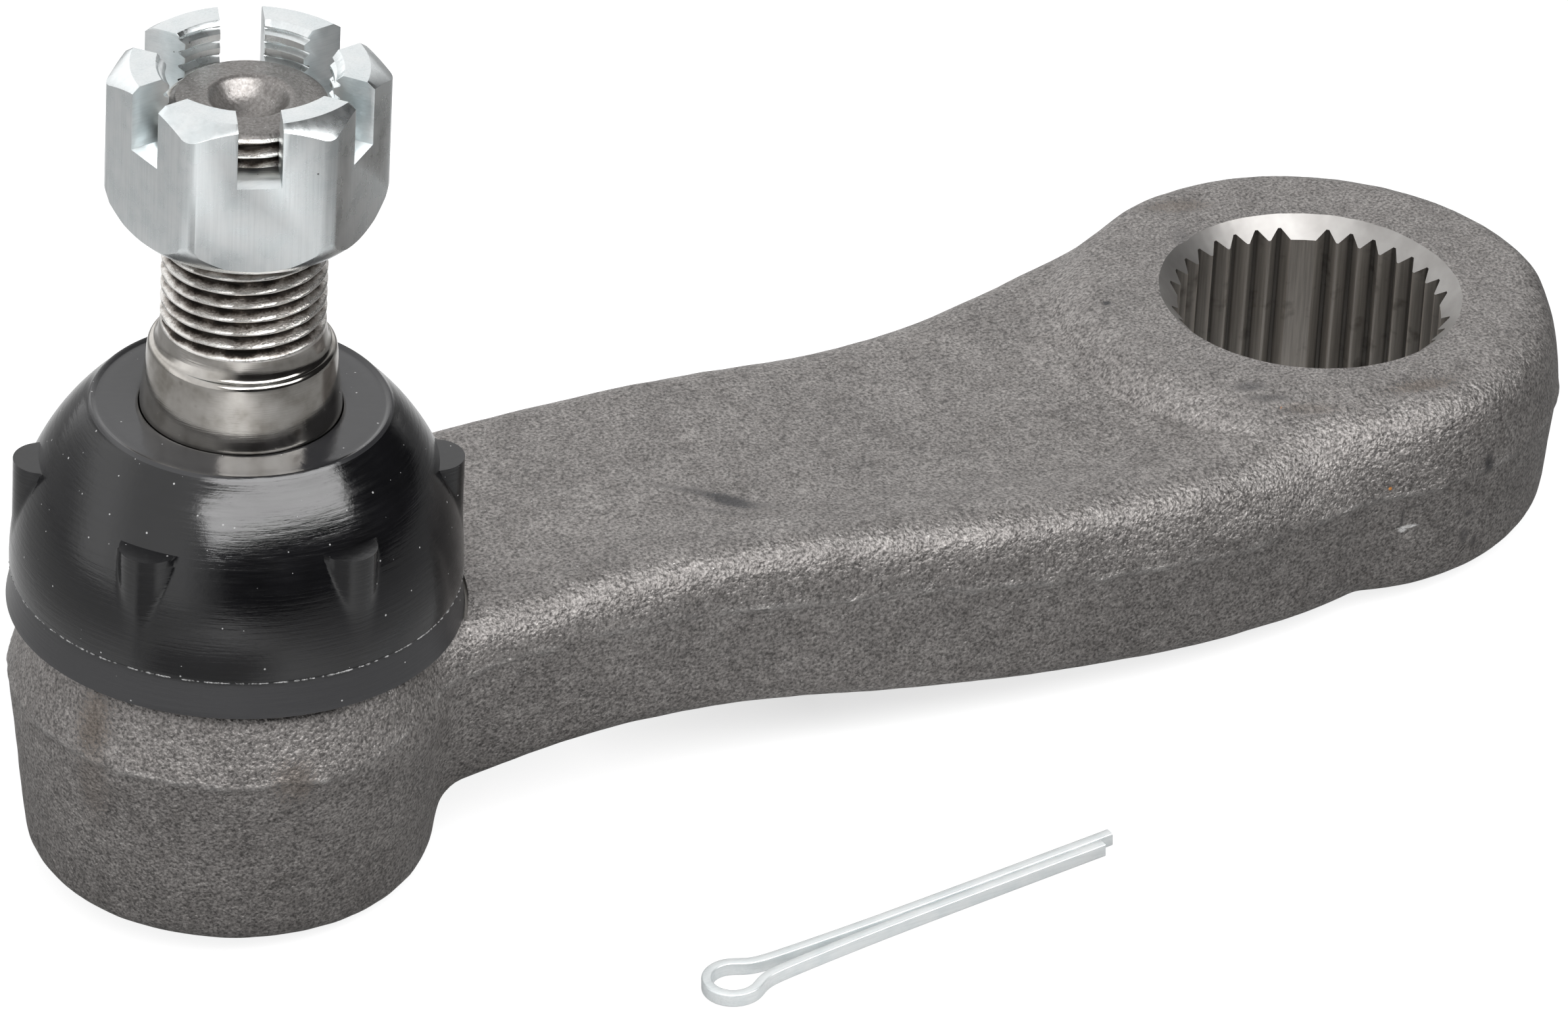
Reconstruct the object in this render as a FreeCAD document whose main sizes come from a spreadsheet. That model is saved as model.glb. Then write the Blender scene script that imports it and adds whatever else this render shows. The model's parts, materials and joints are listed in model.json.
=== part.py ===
import FreeCAD, Part
import os
import re

import Sketcher
from FreeCAD import Placement, Rotation, Vector

# Pitman arm of a steering linkage, in millimetres.
# The origin is on the axis of the serrated bore, at the eye's top face. +Z runs along the bore
# towards the stud's thread, and +X runs from the ball stud to the eye.

doc = FreeCAD.newDocument("pitman_arm")
dims = doc.addObject("Spreadsheet::Sheet", "dims")

# Driving dimensions: name, size, and what it is
SIZES = [
    ("centre_distance", 123.7, "stud axis to bore axis"),
    ("draft_angle", 4.0, "draft of the forged walls, degrees"),
    ("forging_top_radius", 4.0, "rounding of the arm's upper edges"),
    ("forging_bottom_radius", 3.0, "rounding of the arm's lower edges"),
    ("eye_radius", 25.9, "eye at its parting line"),
    ("eye_parting", 8.8, "depth of the eye's parting line below the top face"),
    ("eye_thickness", 22.0, "eye, top face to bottom face"),
    ("eye_rim_radius", 3.2, "rounding of the eye's rims"),
    ("serration_root_radius", 14.35, "serrated bore at the bottom of its notches"),
    ("serration_tip_radius", 13.44, "serrated bore at the tips of its teeth"),
    ("serration_positions", 36, "tooth positions round the bore"),
    ("serration_angle", 60.0, "direction of the first blind tooth, degrees"),
    ("serration_root_flat", 0.30, "flat at the bottom of a notch"),
    ("serration_tip_flat", 0.24, "flat on the tip of a tooth"),
    ("serration_mouth", 0.05, "how far the notches' outline reaches into the bore"),
    ("bore_chamfer", 2.0, "chamfer at the bore's top"),
    ("bore_chamfer_below", 1.0, "chamfer at the bore's bottom"),
    ("housing_radius", 22.0, "ball housing at its parting line"),
    ("housing_top_radius", 20.6, "ball housing under the boot"),
    ("housing_bottom_radius", 20.0, "ball housing at its foot"),
    ("housing_top_depth", 2.8, "housing's top face below the eye's top face"),
    ("housing_parting", 10.7, "housing's parting line below the eye's top face"),
    ("housing_depth", 30.3, "housing's bottom face below the eye's top face"),
    ("housing_rim_radius", 2.5, "rounding of the housing's foot"),
    ("ball_depth", 11.3, "ball centre below the eye's top face"),
    ("ball_radius", 14.0, "ball, as the half bearing and the stud's head share it"),
    ("ball_clearance", 0.05, "running gap round the ball and the stud's shank"),
    ("socket_mouth_radius", 14.6, "opening in the housing's top"),
    ("socket_seat_top", 6.4, "top of the socket's spherical seat above the ball centre"),
    ("socket_seat_bottom", 2.0, "bottom of the socket's spherical seat above the ball centre"),
    ("socket_radius", 15.5, "cylinder below the spherical seat"),
    ("cover_radius", 17.0, "recess for the cover plate"),
    ("cover_thickness", 2.5, "cover plate"),
    ("cover_lift", 2.5, "underside of the cover plate above the housing's foot"),
    ("cover_lip_radius", 15.8, "lip rolled under the cover plate"),
    ("cover_dimple_radius", 4.0, "dimple pressed in the cover plate"),
    ("cover_dimple_depth", 0.9, "dimple pressed in the cover plate"),
    ("fit_gap", 0.05, "gap at each side of the pieces inside the housing"),
    ("bearing_height", 9.5, "half bearing above the ball centre"),
    ("shank_radius", 8.0, "stud's shank, which turns in the half bearing"),
    ("head_radius", 13.6, "stud's head under the half bearing"),
    ("head_depth", 6.0, "flat end of the stud's head below the ball centre"),
    ("seat_rim_depth", 3.0, "rim of the pressure seat below the ball centre"),
    ("seat_floor", 1.6, "thickness of the pressure seat's floor"),
    ("spring_thickness", 1.1, "dished preload spring"),
    ("spring_height", 1.9, "dished preload spring, between the cover plate and the pressure seat"),
    ("spring_outer_radius", 14.4, "dished preload spring"),
    ("spring_inner_radius", 6.0, "dished preload spring"),
    ("thread_radius", 8.0, "stud's M16 x 1.5 thread"),
    ("thread_runout", 29.0, "start of the thread above the eye's top face"),
    ("taper_top_radius", 9.1, "small end of the stud's taper"),
    ("taper_top", 26.6, "small end of the stud's taper above the eye's top face"),
    ("taper_bottom", 8.0, "large end of the stud's taper above the eye's top face"),
    ("taper_slope", 0.10, "growth of the taper's radius for each millimetre down"),
    ("stud_shoulder", 5.0, "length of the cone under the taper"),
    ("stud_end", 53.3, "stud's end above the eye's top face"),
    ("stud_end_chamfer", 0.9, "chamfer on the stud's end"),
    ("dimple_radius", 3.75, "centre dimple in the stud's end"),
    ("dimple_depth", 2.6, "centre dimple in the stud's end"),
    ("pin_hole_radius", 2.0, "cross hole for the cotter pin"),
    ("pin_hole_height", 44.5, "cross hole above the eye's top face"),
    ("pin_hole_angle", 36.8, "direction of the cross hole, degrees"),
    ("nut_across_flats", 24.0, "castle nut"),
    ("nut_bottom", 39.8, "nut's underside above the eye's top face"),
    ("nut_height", 17.0, "castle nut"),
    ("nut_clearance", 0.05, "gap between the nut's bore and the thread's crests"),
    ("nut_angle", 6.8, "direction of a flat's normal, degrees"),
    ("nut_slot_width", 4.25, "slots for the cotter pin"),
    ("nut_slot_depth", 6.6, "slots for the cotter pin"),
    ("nut_top_circle", 11.4, "flat top of the nut inside its chamfer"),
    ("nut_top_chamfer", 1.85, "height of the chamfer on the nut's top corners"),
    ("nut_bottom_circle", 10.2, "bearing face of the nut inside its chamfer"),
    ("nut_bottom_chamfer", 5.0, "height of the rounded chamfer on the nut's bottom corners"),
    ("nut_bottom_curve", 6.4, "radius of the rounded chamfer"),
    ("nut_bore_chamfer", 0.9, "countersinks of the nut's bore"),
    ("boot_seat_gap", 0.3, "boot's foot above the housing"),
    ("boot_seat_margin", 0.3, "machined boot seat round the boot's foot"),
    ("boot_foot_radius", 22.3, "boot's outside at its foot"),
    ("boot_band_radius", 21.6, "boot's outside at the top of its foot band"),
    ("boot_band_height", 3.8, "boot's foot band"),
    ("boot_step", 0.3, "step from the foot band up to the dome"),
    ("boot_dome_radius", 22.0, "boot's dome just above the foot band"),
    ("boot_dome_curve", 23.5, "radius of the dome's side"),
    ("boot_top_radius", 14.4, "flat on top of the dome"),
    ("boot_top", 19.8, "flat on top of the dome above the eye's top face"),
    ("boot_wall", 2.4, "boot's wall"),
    ("boot_lip_height", 3.0, "boot's collar round the stud"),
    ("boot_lip_gap", 0.35, "boot's collar clear of the stud"),
    ("lug_count", 6, "grip lugs on the boot"),
    ("lug_radius", 2.9, "grip lugs on the boot"),
    ("lug_reach", 21.8, "outside of the lugs from the stud's axis"),
    ("lug_top", 13.4, "flat top of the lugs above the eye's top face"),
    ("lug_bottom", 2.5, "bottom of the lugs above the eye's top face"),
    ("lug_angle", 35.0, "direction of the first lug, degrees"),
    ("pin_length", 45.5, "cotter pin, loop to the end of its short prong"),
    ("pin_overhang", 1.6, "long prong past the short one"),
    ("pin_wire_width", 1.05, "flattened wire of the pin"),
    ("pin_wire_height", 1.45, "flattened wire of the pin"),
    ("pin_prong_gap", 0.12, "gap between the prongs"),
    ("pin_loop_radius", 2.65, "centre line of the loop"),
    ("pin_neck_gap", 1.1, "gap between the prongs where they leave the loop"),
    ("pin_neck_angle", 35.0, "slope of the wire where it leaves the loop, degrees"),
    ("pin_x", -93.3, "centre of the pin's loop"),
    ("pin_y", -46.4, "centre of the pin's loop"),
    ("pin_lift", 0.02, "pin above the plane that the arm rests on"),
    ("pin_angle", 1.9, "direction of the pin, degrees"),
]

# Cross-sections of the forged arm. Each is placed by a distance from the bore's axis. Its sizes are
# the half-widths of its two sides at the parting line, then the heights of the parting line, of the
# top at its two sides, and of the bottom.
STATION_SIZES = ("place", "near", "far", "parting", "near_top", "far_top", "bottom")
STATIONS = [
    ("neck", 118.0, 13.5, 15.0, -8.6, -2.9, -2.5, -24.9),
    ("throat", 104.0, 15.6, 18.8, -7.2, -2.2, -1.4, -21.6),
    ("waist", 88.0, 16.6, 19.0, -6.4, -1.4, -0.9, -19.7),
    ("middle", 64.0, 20.4, 18.1, -7.6, -1.9, -1.2, -20.5),
    ("flare", 42.0, 24.2, 18.8, -9.8, -3.6, -3.2, -21.9),
    ("cheek", 26.0, 25.8, 21.6, -10.2, -3.8, -3.0, -22.2),
    ("root", 8.0, 25.0, 24.0, -9.4, -3.9, -1.6, -21.7),
]
for station in STATIONS:
    for size, value in zip(STATION_SIZES, station[1:]):
        SIZES.append((station[0] + "_" + size, value, "arm's section at the " + station[0]))

for row, (alias, value, meaning) in enumerate(SIZES, start=1):
    dims.set(f"A{row}", meaning)
    dims.set(f"B{row}", str(value))
    dims.setAlias(f"B{row}", alias)
doc.recompute()

# Helpers


def bound(expression):
    """Write each size's name in an expression as a cell of the sheet."""
    return re.sub(r"[a-z]+(_[a-z]+)+", lambda match: "dims." + match.group(), expression)


def number(expression):
    """Value of an expression now, for the first position of a sketch's geometry."""
    return float(dims.evalExpression(bound(expression)))


def new_body(label):
    body = doc.addObject("PartDesign::Body", label)
    body.Label = label
    return body


def origin_plane(body, role):
    return next(plane for plane in body.Origin.OriginFeatures if plane.Role == role)


def new_sketch(body, name, role, base):
    """Empty sketch on an origin plane; base shifts it along the plane's own axes."""
    sketch = body.newObject("Sketcher::SketchObject", name)
    sketch.AttachmentSupport = (origin_plane(body, role), [""])
    sketch.MapMode = "FlatFace"
    for axis, expression in base.items():
        sketch.setExpression("AttachmentOffset.Base." + axis, bound(expression))
    sketch.Visibility = False
    return sketch


def constrain(sketch, kind, parts, expression):
    index = sketch.addConstraint(Sketcher.Constraint(kind, *parts, number(expression)))
    sketch.setExpression(f"Constraints[{index}]", bound(expression))


def bulged_arc(start, end, radius):
    """Arc of less than half a turn that bulges to the left of its chord, or right if negative."""
    chord = end - start
    half = chord.Length / 2
    left = Vector(-chord.y, chord.x, 0).normalize()
    rise = abs(radius) - (radius * radius - half * half) ** 0.5
    side = 1 if radius > 0 else -1
    return Part.Arc(start, (start + end) / 2 + left * rise * side, end)


def add_loop(sketch, corners):
    """Closed outline: a corner is x, y, and the radius of the arc to the next corner, if any."""
    spots = [Vector(number(corner[0]), number(corner[1]), 0) for corner in corners]
    first = len(sketch.Geometry)
    ends = []
    for index, corner in enumerate(corners):
        start, end = spots[index], spots[(index + 1) % len(spots)]
        geo = first + index
        if len(corner) == 2:
            sketch.addGeometry(Part.LineSegment(start, end))
            ends.append((1, 2))
        else:
            radius = number(corner[2])
            sketch.addGeometry(bulged_arc(start, end, radius))
            ends.append((2, 1) if radius > 0 else (1, 2))
    for index, corner in enumerate(corners):
        geo = first + index
        after = (index + 1) % len(corners)
        sketch.addConstraint(
            Sketcher.Constraint("Coincident", geo, ends[index][1], first + after, ends[after][0])
        )
        constrain(sketch, "DistanceX", (-1, 1, geo, ends[index][0]), corner[0])
        constrain(sketch, "DistanceY", (-1, 1, geo, ends[index][0]), corner[1])
        if len(corner) == 3:
            constrain(sketch, "Radius", (geo,), corner[2].lstrip("-"))


def add_circle(sketch, x, y, radius):
    centre = Vector(number(x), number(y), 0)
    geo = sketch.addGeometry(Part.Circle(centre, Vector(0, 0, 1), number(radius)))
    constrain(sketch, "DistanceX", (-1, 1, geo, 3), x)
    constrain(sketch, "DistanceY", (-1, 1, geo, 3), y)
    constrain(sketch, "Radius", (geo,), radius)


def outline(body, name, role, corners, **base):
    sketch = new_sketch(body, name, role, base)
    add_loop(sketch, corners)
    return sketch


def turned(body, kind, name, corners, **base):
    """Revolution or Groove of an outline about the sketch's own vertical axis."""
    sketch = outline(body, name + "_outline", "XZ_Plane", corners, **base)
    feature = body.newObject("PartDesign::" + kind, name)
    feature.Profile = sketch
    feature.ReferenceAxis = (sketch, ["V_Axis"])
    feature.Angle = 360
    body.Tip = feature
    return feature


def extruded(body, kind, name, sketch, length=None, reverse=False):
    """Pad or Pocket of a sketch; with no length a pocket goes through all, both ways."""
    feature = body.newObject("PartDesign::" + kind, name)
    feature.Profile = sketch
    if length is None:
        feature.Type = "ThroughAll"
        feature.Midplane = True
    else:
        feature.setExpression("Length", bound(length))
        feature.Reversed = reverse
    body.Tip = feature
    return feature


def repeated(body, name, feature, sketch, count):
    """Copies of a feature, evenly round the sketch's normal axis."""
    pattern = body.newObject("PartDesign::PolarPattern", name)
    pattern.Originals = [feature]
    pattern.Axis = (sketch, ["N_Axis"])
    pattern.Angle = 360
    pattern.setExpression("Occurrences", bound(count))
    body.Tip = pattern
    return pattern


def place(body, x="0", z="0", turn="0"):
    """Set a body's origin in the arm's frame and its turn about the vertical."""
    body.setExpression("Placement.Base.x", bound(x))
    body.setExpression("Placement.Base.z", bound(z))
    body.setExpression("Placement.Rotation.Angle", bound(turn))


# The forging: a drafted arm lofted through its sections, with the eye and the ball housing

arm = new_body("arm_forging")


def section_side(name, side):
    """One side of a section, from its top edge down to its bottom edge, as distances and heights."""
    top = f"{name}_{side}_top"
    bottom = f"{name}_bottom"
    top_tangent = f"({top} - forging_top_radius * (1 - sin(draft_angle)))"
    bottom_tangent = f"({bottom} + forging_bottom_radius * (1 - sin(draft_angle)))"
    high = f"({name}_{side} - ({top_tangent} - {name}_parting) * tan(draft_angle))"
    low = f"({name}_{side} - ({name}_parting - {bottom_tangent}) * tan(draft_angle))"
    return [
        (f"{high} - forging_top_radius * cos(draft_angle)", top),
        (high, top_tangent),
        (f"{name}_{side}", f"{name}_parting"),
        (low, bottom_tangent),
        (f"{low} - forging_bottom_radius * cos(draft_angle)", bottom),
    ]


def arm_section(name):
    """Section across the arm: drafted walls from the parting line to rounded top and bottom edges."""
    far = section_side(name, "far")
    near = [(f"-({distance})", height) for distance, height in section_side(name, "near")]
    return outline(arm, name + "_section", "YZ_Plane", [
        (*far[0], "forging_top_radius"),
        *far[1:3],
        (*far[3], "forging_bottom_radius"),
        far[4],
        (*near[4], "forging_bottom_radius"),
        *near[2:4][::-1],
        (*near[1], "forging_top_radius"),
        near[0],
    ], z=f"-{name}_place")


sections = [arm_section(station[0]) for station in STATIONS]
bar = arm.newObject("PartDesign::AdditiveLoft", "forged_bar")
bar.Profile = sections[0]
bar.Sections = sections[1:]
arm.Tip = bar

eye_top = "eye_radius - (eye_parting - eye_rim_radius) * tan(draft_angle)"
eye_bottom = "eye_radius - (eye_thickness - eye_parting - eye_rim_radius) * tan(draft_angle)"
turned(arm, "Revolution", "eye", [
    ("0", "0"),
    (f"{eye_top} - eye_rim_radius", "0", "eye_rim_radius"),
    (eye_top, "-eye_rim_radius"),
    ("eye_radius", "-eye_parting"),
    (eye_bottom, "eye_rim_radius - eye_thickness", "eye_rim_radius"),
    (f"{eye_bottom} - eye_rim_radius", "-eye_thickness"),
    ("0", "-eye_thickness"),
])
turned(arm, "Revolution", "ball_housing", [
    ("0", "-housing_top_depth"),
    ("housing_top_radius - housing_rim_radius", "-housing_top_depth", "housing_rim_radius"),
    ("housing_top_radius", "-housing_top_depth - housing_rim_radius"),
    ("housing_radius", "-housing_parting"),
    ("housing_bottom_radius", "housing_rim_radius - housing_depth", "housing_rim_radius"),
    ("housing_bottom_radius - housing_rim_radius", "-housing_depth"),
    ("0", "-housing_depth"),
], x="-centre_distance")
turned(arm, "Groove", "boot_seat", [
    ("0", "0"),
    ("boot_foot_radius + boot_seat_margin", "0"),
    ("boot_foot_radius + boot_seat_margin", "-housing_top_depth"),
    ("0", "-housing_top_depth"),
], x="-centre_distance")
seat_radius = "(ball_radius + ball_clearance)"
socket_floor = "housing_depth - ball_depth"
turned(arm, "Groove", "socket", [
    ("0", "ball_depth"),
    ("socket_mouth_radius", "ball_depth"),
    ("socket_mouth_radius", "ball_depth - housing_top_depth"),
    (f"sqrt({seat_radius}^2 - socket_seat_top^2)", "socket_seat_top", "ball_radius + ball_clearance"),
    (f"sqrt({seat_radius}^2 - socket_seat_bottom^2)", "socket_seat_bottom"),
    ("socket_radius", "socket_seat_bottom"),
    ("socket_radius", f"cover_lift + cover_thickness - ({socket_floor}) + fit_gap"),
    ("cover_radius", f"cover_lift + cover_thickness - ({socket_floor}) + fit_gap"),
    ("cover_radius", f"cover_lift - ({socket_floor}) - fit_gap"),
    ("cover_lip_radius", f"cover_lift - ({socket_floor}) - fit_gap"),
    ("cover_lip_radius", f"-({socket_floor}) - 1"),
    ("0", f"-({socket_floor}) - 1"),
], x="-centre_distance", y="-ball_depth")
turned(arm, "Groove", "bore", [
    ("0", "1"),
    ("serration_tip_radius + bore_chamfer + 1", "1"),
    ("serration_tip_radius", "-bore_chamfer"),
    ("serration_tip_radius", "bore_chamfer_below - eye_thickness"),
    ("serration_tip_radius + bore_chamfer_below + 1", "-eye_thickness - 1"),
    ("0", "-eye_thickness - 1"),
])

# Serrations: notches at every position but the four blind ones, cut a quarter of the bore at a time.
# The notches of a quarter are one zigzag outline, closed across the open bore.

QUARTERS = 4
positions = round(number("serration_positions"))
pitch_half = "180 / serration_positions"
tip_half = f"(serration_tip_radius * sin({pitch_half}) - serration_tip_flat / 2)"
root_half = "(serration_root_flat / 2)"
flank = f"(({tip_half} - {root_half}) / (serration_root_radius - serration_tip_radius))"
mouth_radius = "(serration_tip_radius - serration_mouth)"
mouth_half = f"({tip_half} + {flank} * serration_mouth)"
notch = [
    (mouth_radius, f"-{mouth_half}"),
    ("serration_root_radius", f"-{root_half}"),
    ("serration_root_radius", root_half),
    (mouth_radius, mouth_half),
]
zigzag = []
for position in range(1, positions // QUARTERS):
    angle = f"(serration_angle + {position} * 360 / serration_positions)"
    for out, side in notch:
        across = f"{out} * cos({angle}) - {side} * sin({angle})"
        along = f"{out} * sin({angle}) + {side} * cos({angle})"
        zigzag.append((across, along))
notches = outline(arm, "serration_notches", "XY_Plane", zigzag)
quarter = extruded(arm, "Pocket", "quarter_serrations", notches)
repeated(arm, "serrated_bore", quarter, notches, str(QUARTERS))

# Stud: a head under the ball's centre, a shank that turns in the half bearing, a taper and a thread

stud = new_body("ball_stud")
turned(stud, "Revolution", "turned_stud", [
    ("0", "-head_depth"),
    ("sqrt(ball_radius^2 - head_depth^2)", "-head_depth", "-ball_radius"),
    ("head_radius", "-sqrt(ball_radius^2 - head_radius^2)"),
    ("head_radius", "0"),
    ("shank_radius", "0"),
    ("shank_radius", "taper_bottom + ball_depth - stud_shoulder"),
    ("taper_top_radius + taper_slope * (taper_top - taper_bottom)", "taper_bottom + ball_depth"),
    ("taper_top_radius", "taper_top + ball_depth"),
    ("thread_radius", "thread_runout + ball_depth"),
    ("thread_radius", "stud_end + ball_depth - stud_end_chamfer"),
    ("thread_radius - stud_end_chamfer", "stud_end + ball_depth"),
    ("dimple_radius", "stud_end + ball_depth", "(dimple_radius^2 + dimple_depth^2) / (2 * dimple_depth)"),
    ("0", "stud_end + ball_depth - dimple_depth"),
])
cross_hole = new_sketch(stud, "cross_hole_circle", "YZ_Plane", {})
add_circle(cross_hole, "0", "pin_hole_height + ball_depth", "pin_hole_radius")
extruded(stud, "Pocket", "cross_hole", cross_hole)
place(stud, x="-centre_distance", z="-ball_depth", turn="pin_hole_angle")

# Castle nut: a chamfered hexagon with a slot across each pair of flats

nut = new_body("castle_nut")
corner_radius = "(nut_across_flats / sqrt(3))"
hexagon = outline(nut, "hexagon", "XY_Plane", [
    (f"{corner_radius} * cos({angle})", f"{corner_radius} * sin({angle})")
    for angle in range(30, 390, 60)
])
extruded(nut, "Pad", "hexagon_block", hexagon, "nut_height")
turned(nut, "Groove", "top_chamfer", [
    ("nut_top_circle", "nut_height"),
    (f"{corner_radius}", "nut_height - nut_top_chamfer"),
    (f"{corner_radius} + 1", "nut_height - nut_top_chamfer"),
    (f"{corner_radius} + 1", "nut_height + 1"),
    ("nut_top_circle", "nut_height + 1"),
])
turned(nut, "Groove", "bottom_chamfer", [
    ("nut_bottom_circle", "0", "-nut_bottom_curve"),
    (f"{corner_radius}", "nut_bottom_chamfer"),
    (f"{corner_radius} + 1", "nut_bottom_chamfer"),
    (f"{corner_radius} + 1", "-1"),
    ("nut_bottom_circle", "-1"),
])
turned(nut, "Groove", "threaded_hole", [
    ("0", "-1"),
    ("thread_radius + nut_clearance + nut_bore_chamfer + 1", "-1"),
    ("thread_radius + nut_clearance", "nut_bore_chamfer"),
    ("thread_radius + nut_clearance", "nut_height - nut_bore_chamfer"),
    ("thread_radius + nut_clearance + nut_bore_chamfer + 1", "nut_height + 1"),
    ("0", "nut_height + 1"),
])
slot = outline(nut, "slot_outline", "YZ_Plane", [
    ("-nut_slot_width / 2", "nut_height - nut_slot_depth"),
    ("nut_slot_width / 2", "nut_height - nut_slot_depth"),
    ("nut_slot_width / 2", "nut_height + 1"),
    ("-nut_slot_width / 2", "nut_height + 1"),
])
slot_cut = extruded(nut, "Pocket", "slot", slot)
repeated(nut, "castle_slots", slot_cut, hexagon, "3")
place(nut, x="-centre_distance", z="nut_bottom", turn="nut_angle")

# Dust boot: a domed skirt with grip lugs, hollowed out to an even wall and a collar round the taper

boot = new_body("dust_boot")
turned(boot, "Revolution", "dome", [
    ("0", "boot_seat_gap - housing_top_depth"),
    ("boot_foot_radius", "boot_seat_gap - housing_top_depth"),
    ("boot_band_radius", "boot_seat_gap - housing_top_depth + boot_band_height"),
    ("boot_dome_radius", "boot_seat_gap - housing_top_depth + boot_band_height + boot_step", "-boot_dome_curve"),
    ("boot_top_radius", "boot_top"),
    ("0", "boot_top"),
])
lug_circle = new_sketch(boot, "lug_circle", "XY_Plane", {"z": "lug_bottom"})
lug_centre = "(lug_reach - lug_radius)"
add_circle(lug_circle, f"{lug_centre} * cos(lug_angle)", f"{lug_centre} * sin(lug_angle)", "lug_radius")
lug = extruded(boot, "Pad", "grip_lug", lug_circle, "lug_top - lug_bottom")
repeated(boot, "grip_lugs", lug, lug_circle, "lug_count")
collar = "(taper_top_radius + taper_slope * (taper_top - boot_top) + boot_lip_gap)"
turned(boot, "Groove", "inside", [
    ("0", "boot_top + 1"),
    (f"{collar} - taper_slope", "boot_top + 1"),
    (f"{collar} + taper_slope * boot_lip_height", "boot_top - boot_lip_height"),
    ("boot_top_radius - boot_wall * 0.75", "boot_top - boot_lip_height", "boot_dome_curve - boot_wall"),
    ("boot_dome_radius - boot_wall", "boot_seat_gap - housing_top_depth + boot_band_height"),
    ("boot_dome_radius - boot_wall * 1.5", "boot_seat_gap - housing_top_depth - 1"),
    ("0", "boot_seat_gap - housing_top_depth - 1"),
])
place(boot, x="-centre_distance")

# Pieces inside the housing, drawn from the ball's centre

cover_top = f"(cover_lift + cover_thickness - ({socket_floor}))"
seat_underside = f"(-{cover_top} - spring_height - 2 * fit_gap)"
seat_floor_top = f"({seat_underside} - seat_floor)"

bearing = new_body("half_ball_bearing")
turned(bearing, "Revolution", "bearing_ring", [
    ("shank_radius + ball_clearance", "fit_gap"),
    ("sqrt(ball_radius^2 - fit_gap^2)", "fit_gap", "-ball_radius"),
    ("sqrt(ball_radius^2 - bearing_height^2)", "bearing_height"),
    ("shank_radius + ball_clearance", "bearing_height"),
])
pressure_seat = new_body("pressure_seat")
turned(pressure_seat, "Revolution", "seat_cup", [
    ("0", f"-{seat_floor_top}"),
    (f"sqrt({seat_radius}^2 - {seat_floor_top}^2)", f"-{seat_floor_top}",
     "-(ball_radius + ball_clearance)"),
    (f"sqrt({seat_radius}^2 - seat_rim_depth^2)", "-seat_rim_depth"),
    ("socket_radius - fit_gap", "-seat_rim_depth"),
    ("socket_radius - fit_gap", f"-{seat_underside}"),
    ("0", f"-{seat_underside}"),
])
spring = new_body("preload_spring")
turned(spring, "Revolution", "dished_ring", [
    ("spring_inner_radius", f"-{seat_underside} - fit_gap"),
    ("spring_outer_radius", f"{cover_top} + fit_gap + spring_thickness"),
    ("spring_outer_radius", f"{cover_top} + fit_gap"),
    ("spring_inner_radius", f"-{seat_underside} - fit_gap - spring_thickness"),
])
cover = new_body("cover_plate")
turned(cover, "Revolution", "dimpled_disc", [
    ("0", cover_top),
    ("cover_radius - fit_gap", cover_top),
    ("cover_radius - fit_gap", f"{cover_top} - cover_thickness"),
    ("cover_dimple_radius", f"{cover_top} - cover_thickness",
     "-(cover_dimple_radius^2 + cover_dimple_depth^2) / (2 * cover_dimple_depth)"),
    ("0", f"{cover_top} - cover_thickness + cover_dimple_depth"),
])
for body in (bearing, pressure_seat, spring, cover):
    place(body, x="-centre_distance", z="-ball_depth")

# Cotter pin: flattened wire bent round a loop, lying on the plane that the arm rests on

rest_edge = "(centre_distance - housing_bottom_radius + housing_rim_radius)"
rest_slope = f"((housing_depth - eye_thickness) / ({rest_edge} + {eye_bottom} - eye_rim_radius))"
pin = new_body("cotter_pin")
loop_inside = "(pin_loop_radius - pin_wire_width / 2)"
loop_outside = "(pin_loop_radius + pin_wire_width / 2)"


def pin_side(side, prong_end):
    """Outer and inner edge of one prong, from its end to the loop's far side."""
    edges = []
    for radius, edge in ((loop_outside, "pin_wire_width + "), (loop_inside, "")):
        near = f"({edge}pin_prong_gap / 2)"
        bend = f"({edge}pin_neck_gap / 2)"
        reach = f"{radius} * sin(pin_neck_angle)"
        reach += f" + ({radius} * cos(pin_neck_angle) - {bend}) / tan(pin_neck_angle)"
        edges.append([
            (prong_end, f"{side} * {near}"),
            (reach, f"{side} * {bend}"),
            (f"{radius} * sin(pin_neck_angle)", f"{side} * {radius} * cos(pin_neck_angle)"),
            (f"-{radius}", "0"),
        ])
    return edges


near_outer, near_inner = pin_side("-1", "pin_length - pin_loop_radius - pin_wire_width / 2")
far_outer, far_inner = pin_side("1", "pin_length - pin_loop_radius - pin_wire_width / 2 + pin_overhang")
wire = outline(pin, "wire_outline", "XY_Plane", [
    near_outer[0],
    near_outer[1],
    (*near_outer[2], loop_outside),
    (*near_outer[3], loop_outside),
    far_outer[2],
    far_outer[1],
    far_outer[0],
    far_inner[0],
    far_inner[1],
    (*far_inner[2], f"-{loop_inside}"),
    (*near_inner[3], f"-{loop_inside}"),
    near_inner[2],
    near_inner[1],
    near_inner[0],
])
wire.setExpression("AttachmentOffset.Rotation.Angle", bound("pin_angle"))
extruded(pin, "Pad", "bent_wire", wire, "pin_wire_height")
pin.Placement = Placement(Vector(), Rotation(Vector(0, -1, 0), 1))
pin_z = f"{rest_slope} * (pin_x + {rest_edge}) - housing_depth + pin_lift"
pin.setExpression("Placement.Base.x", bound("pin_x"))
pin.setExpression("Placement.Base.y", bound("pin_y"))
pin.setExpression("Placement.Base.z", bound(pin_z))
pin.setExpression("Placement.Rotation.Angle", bound(f"atan({rest_slope})"))

# Check every object and piece, then write one file for each piece

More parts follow.
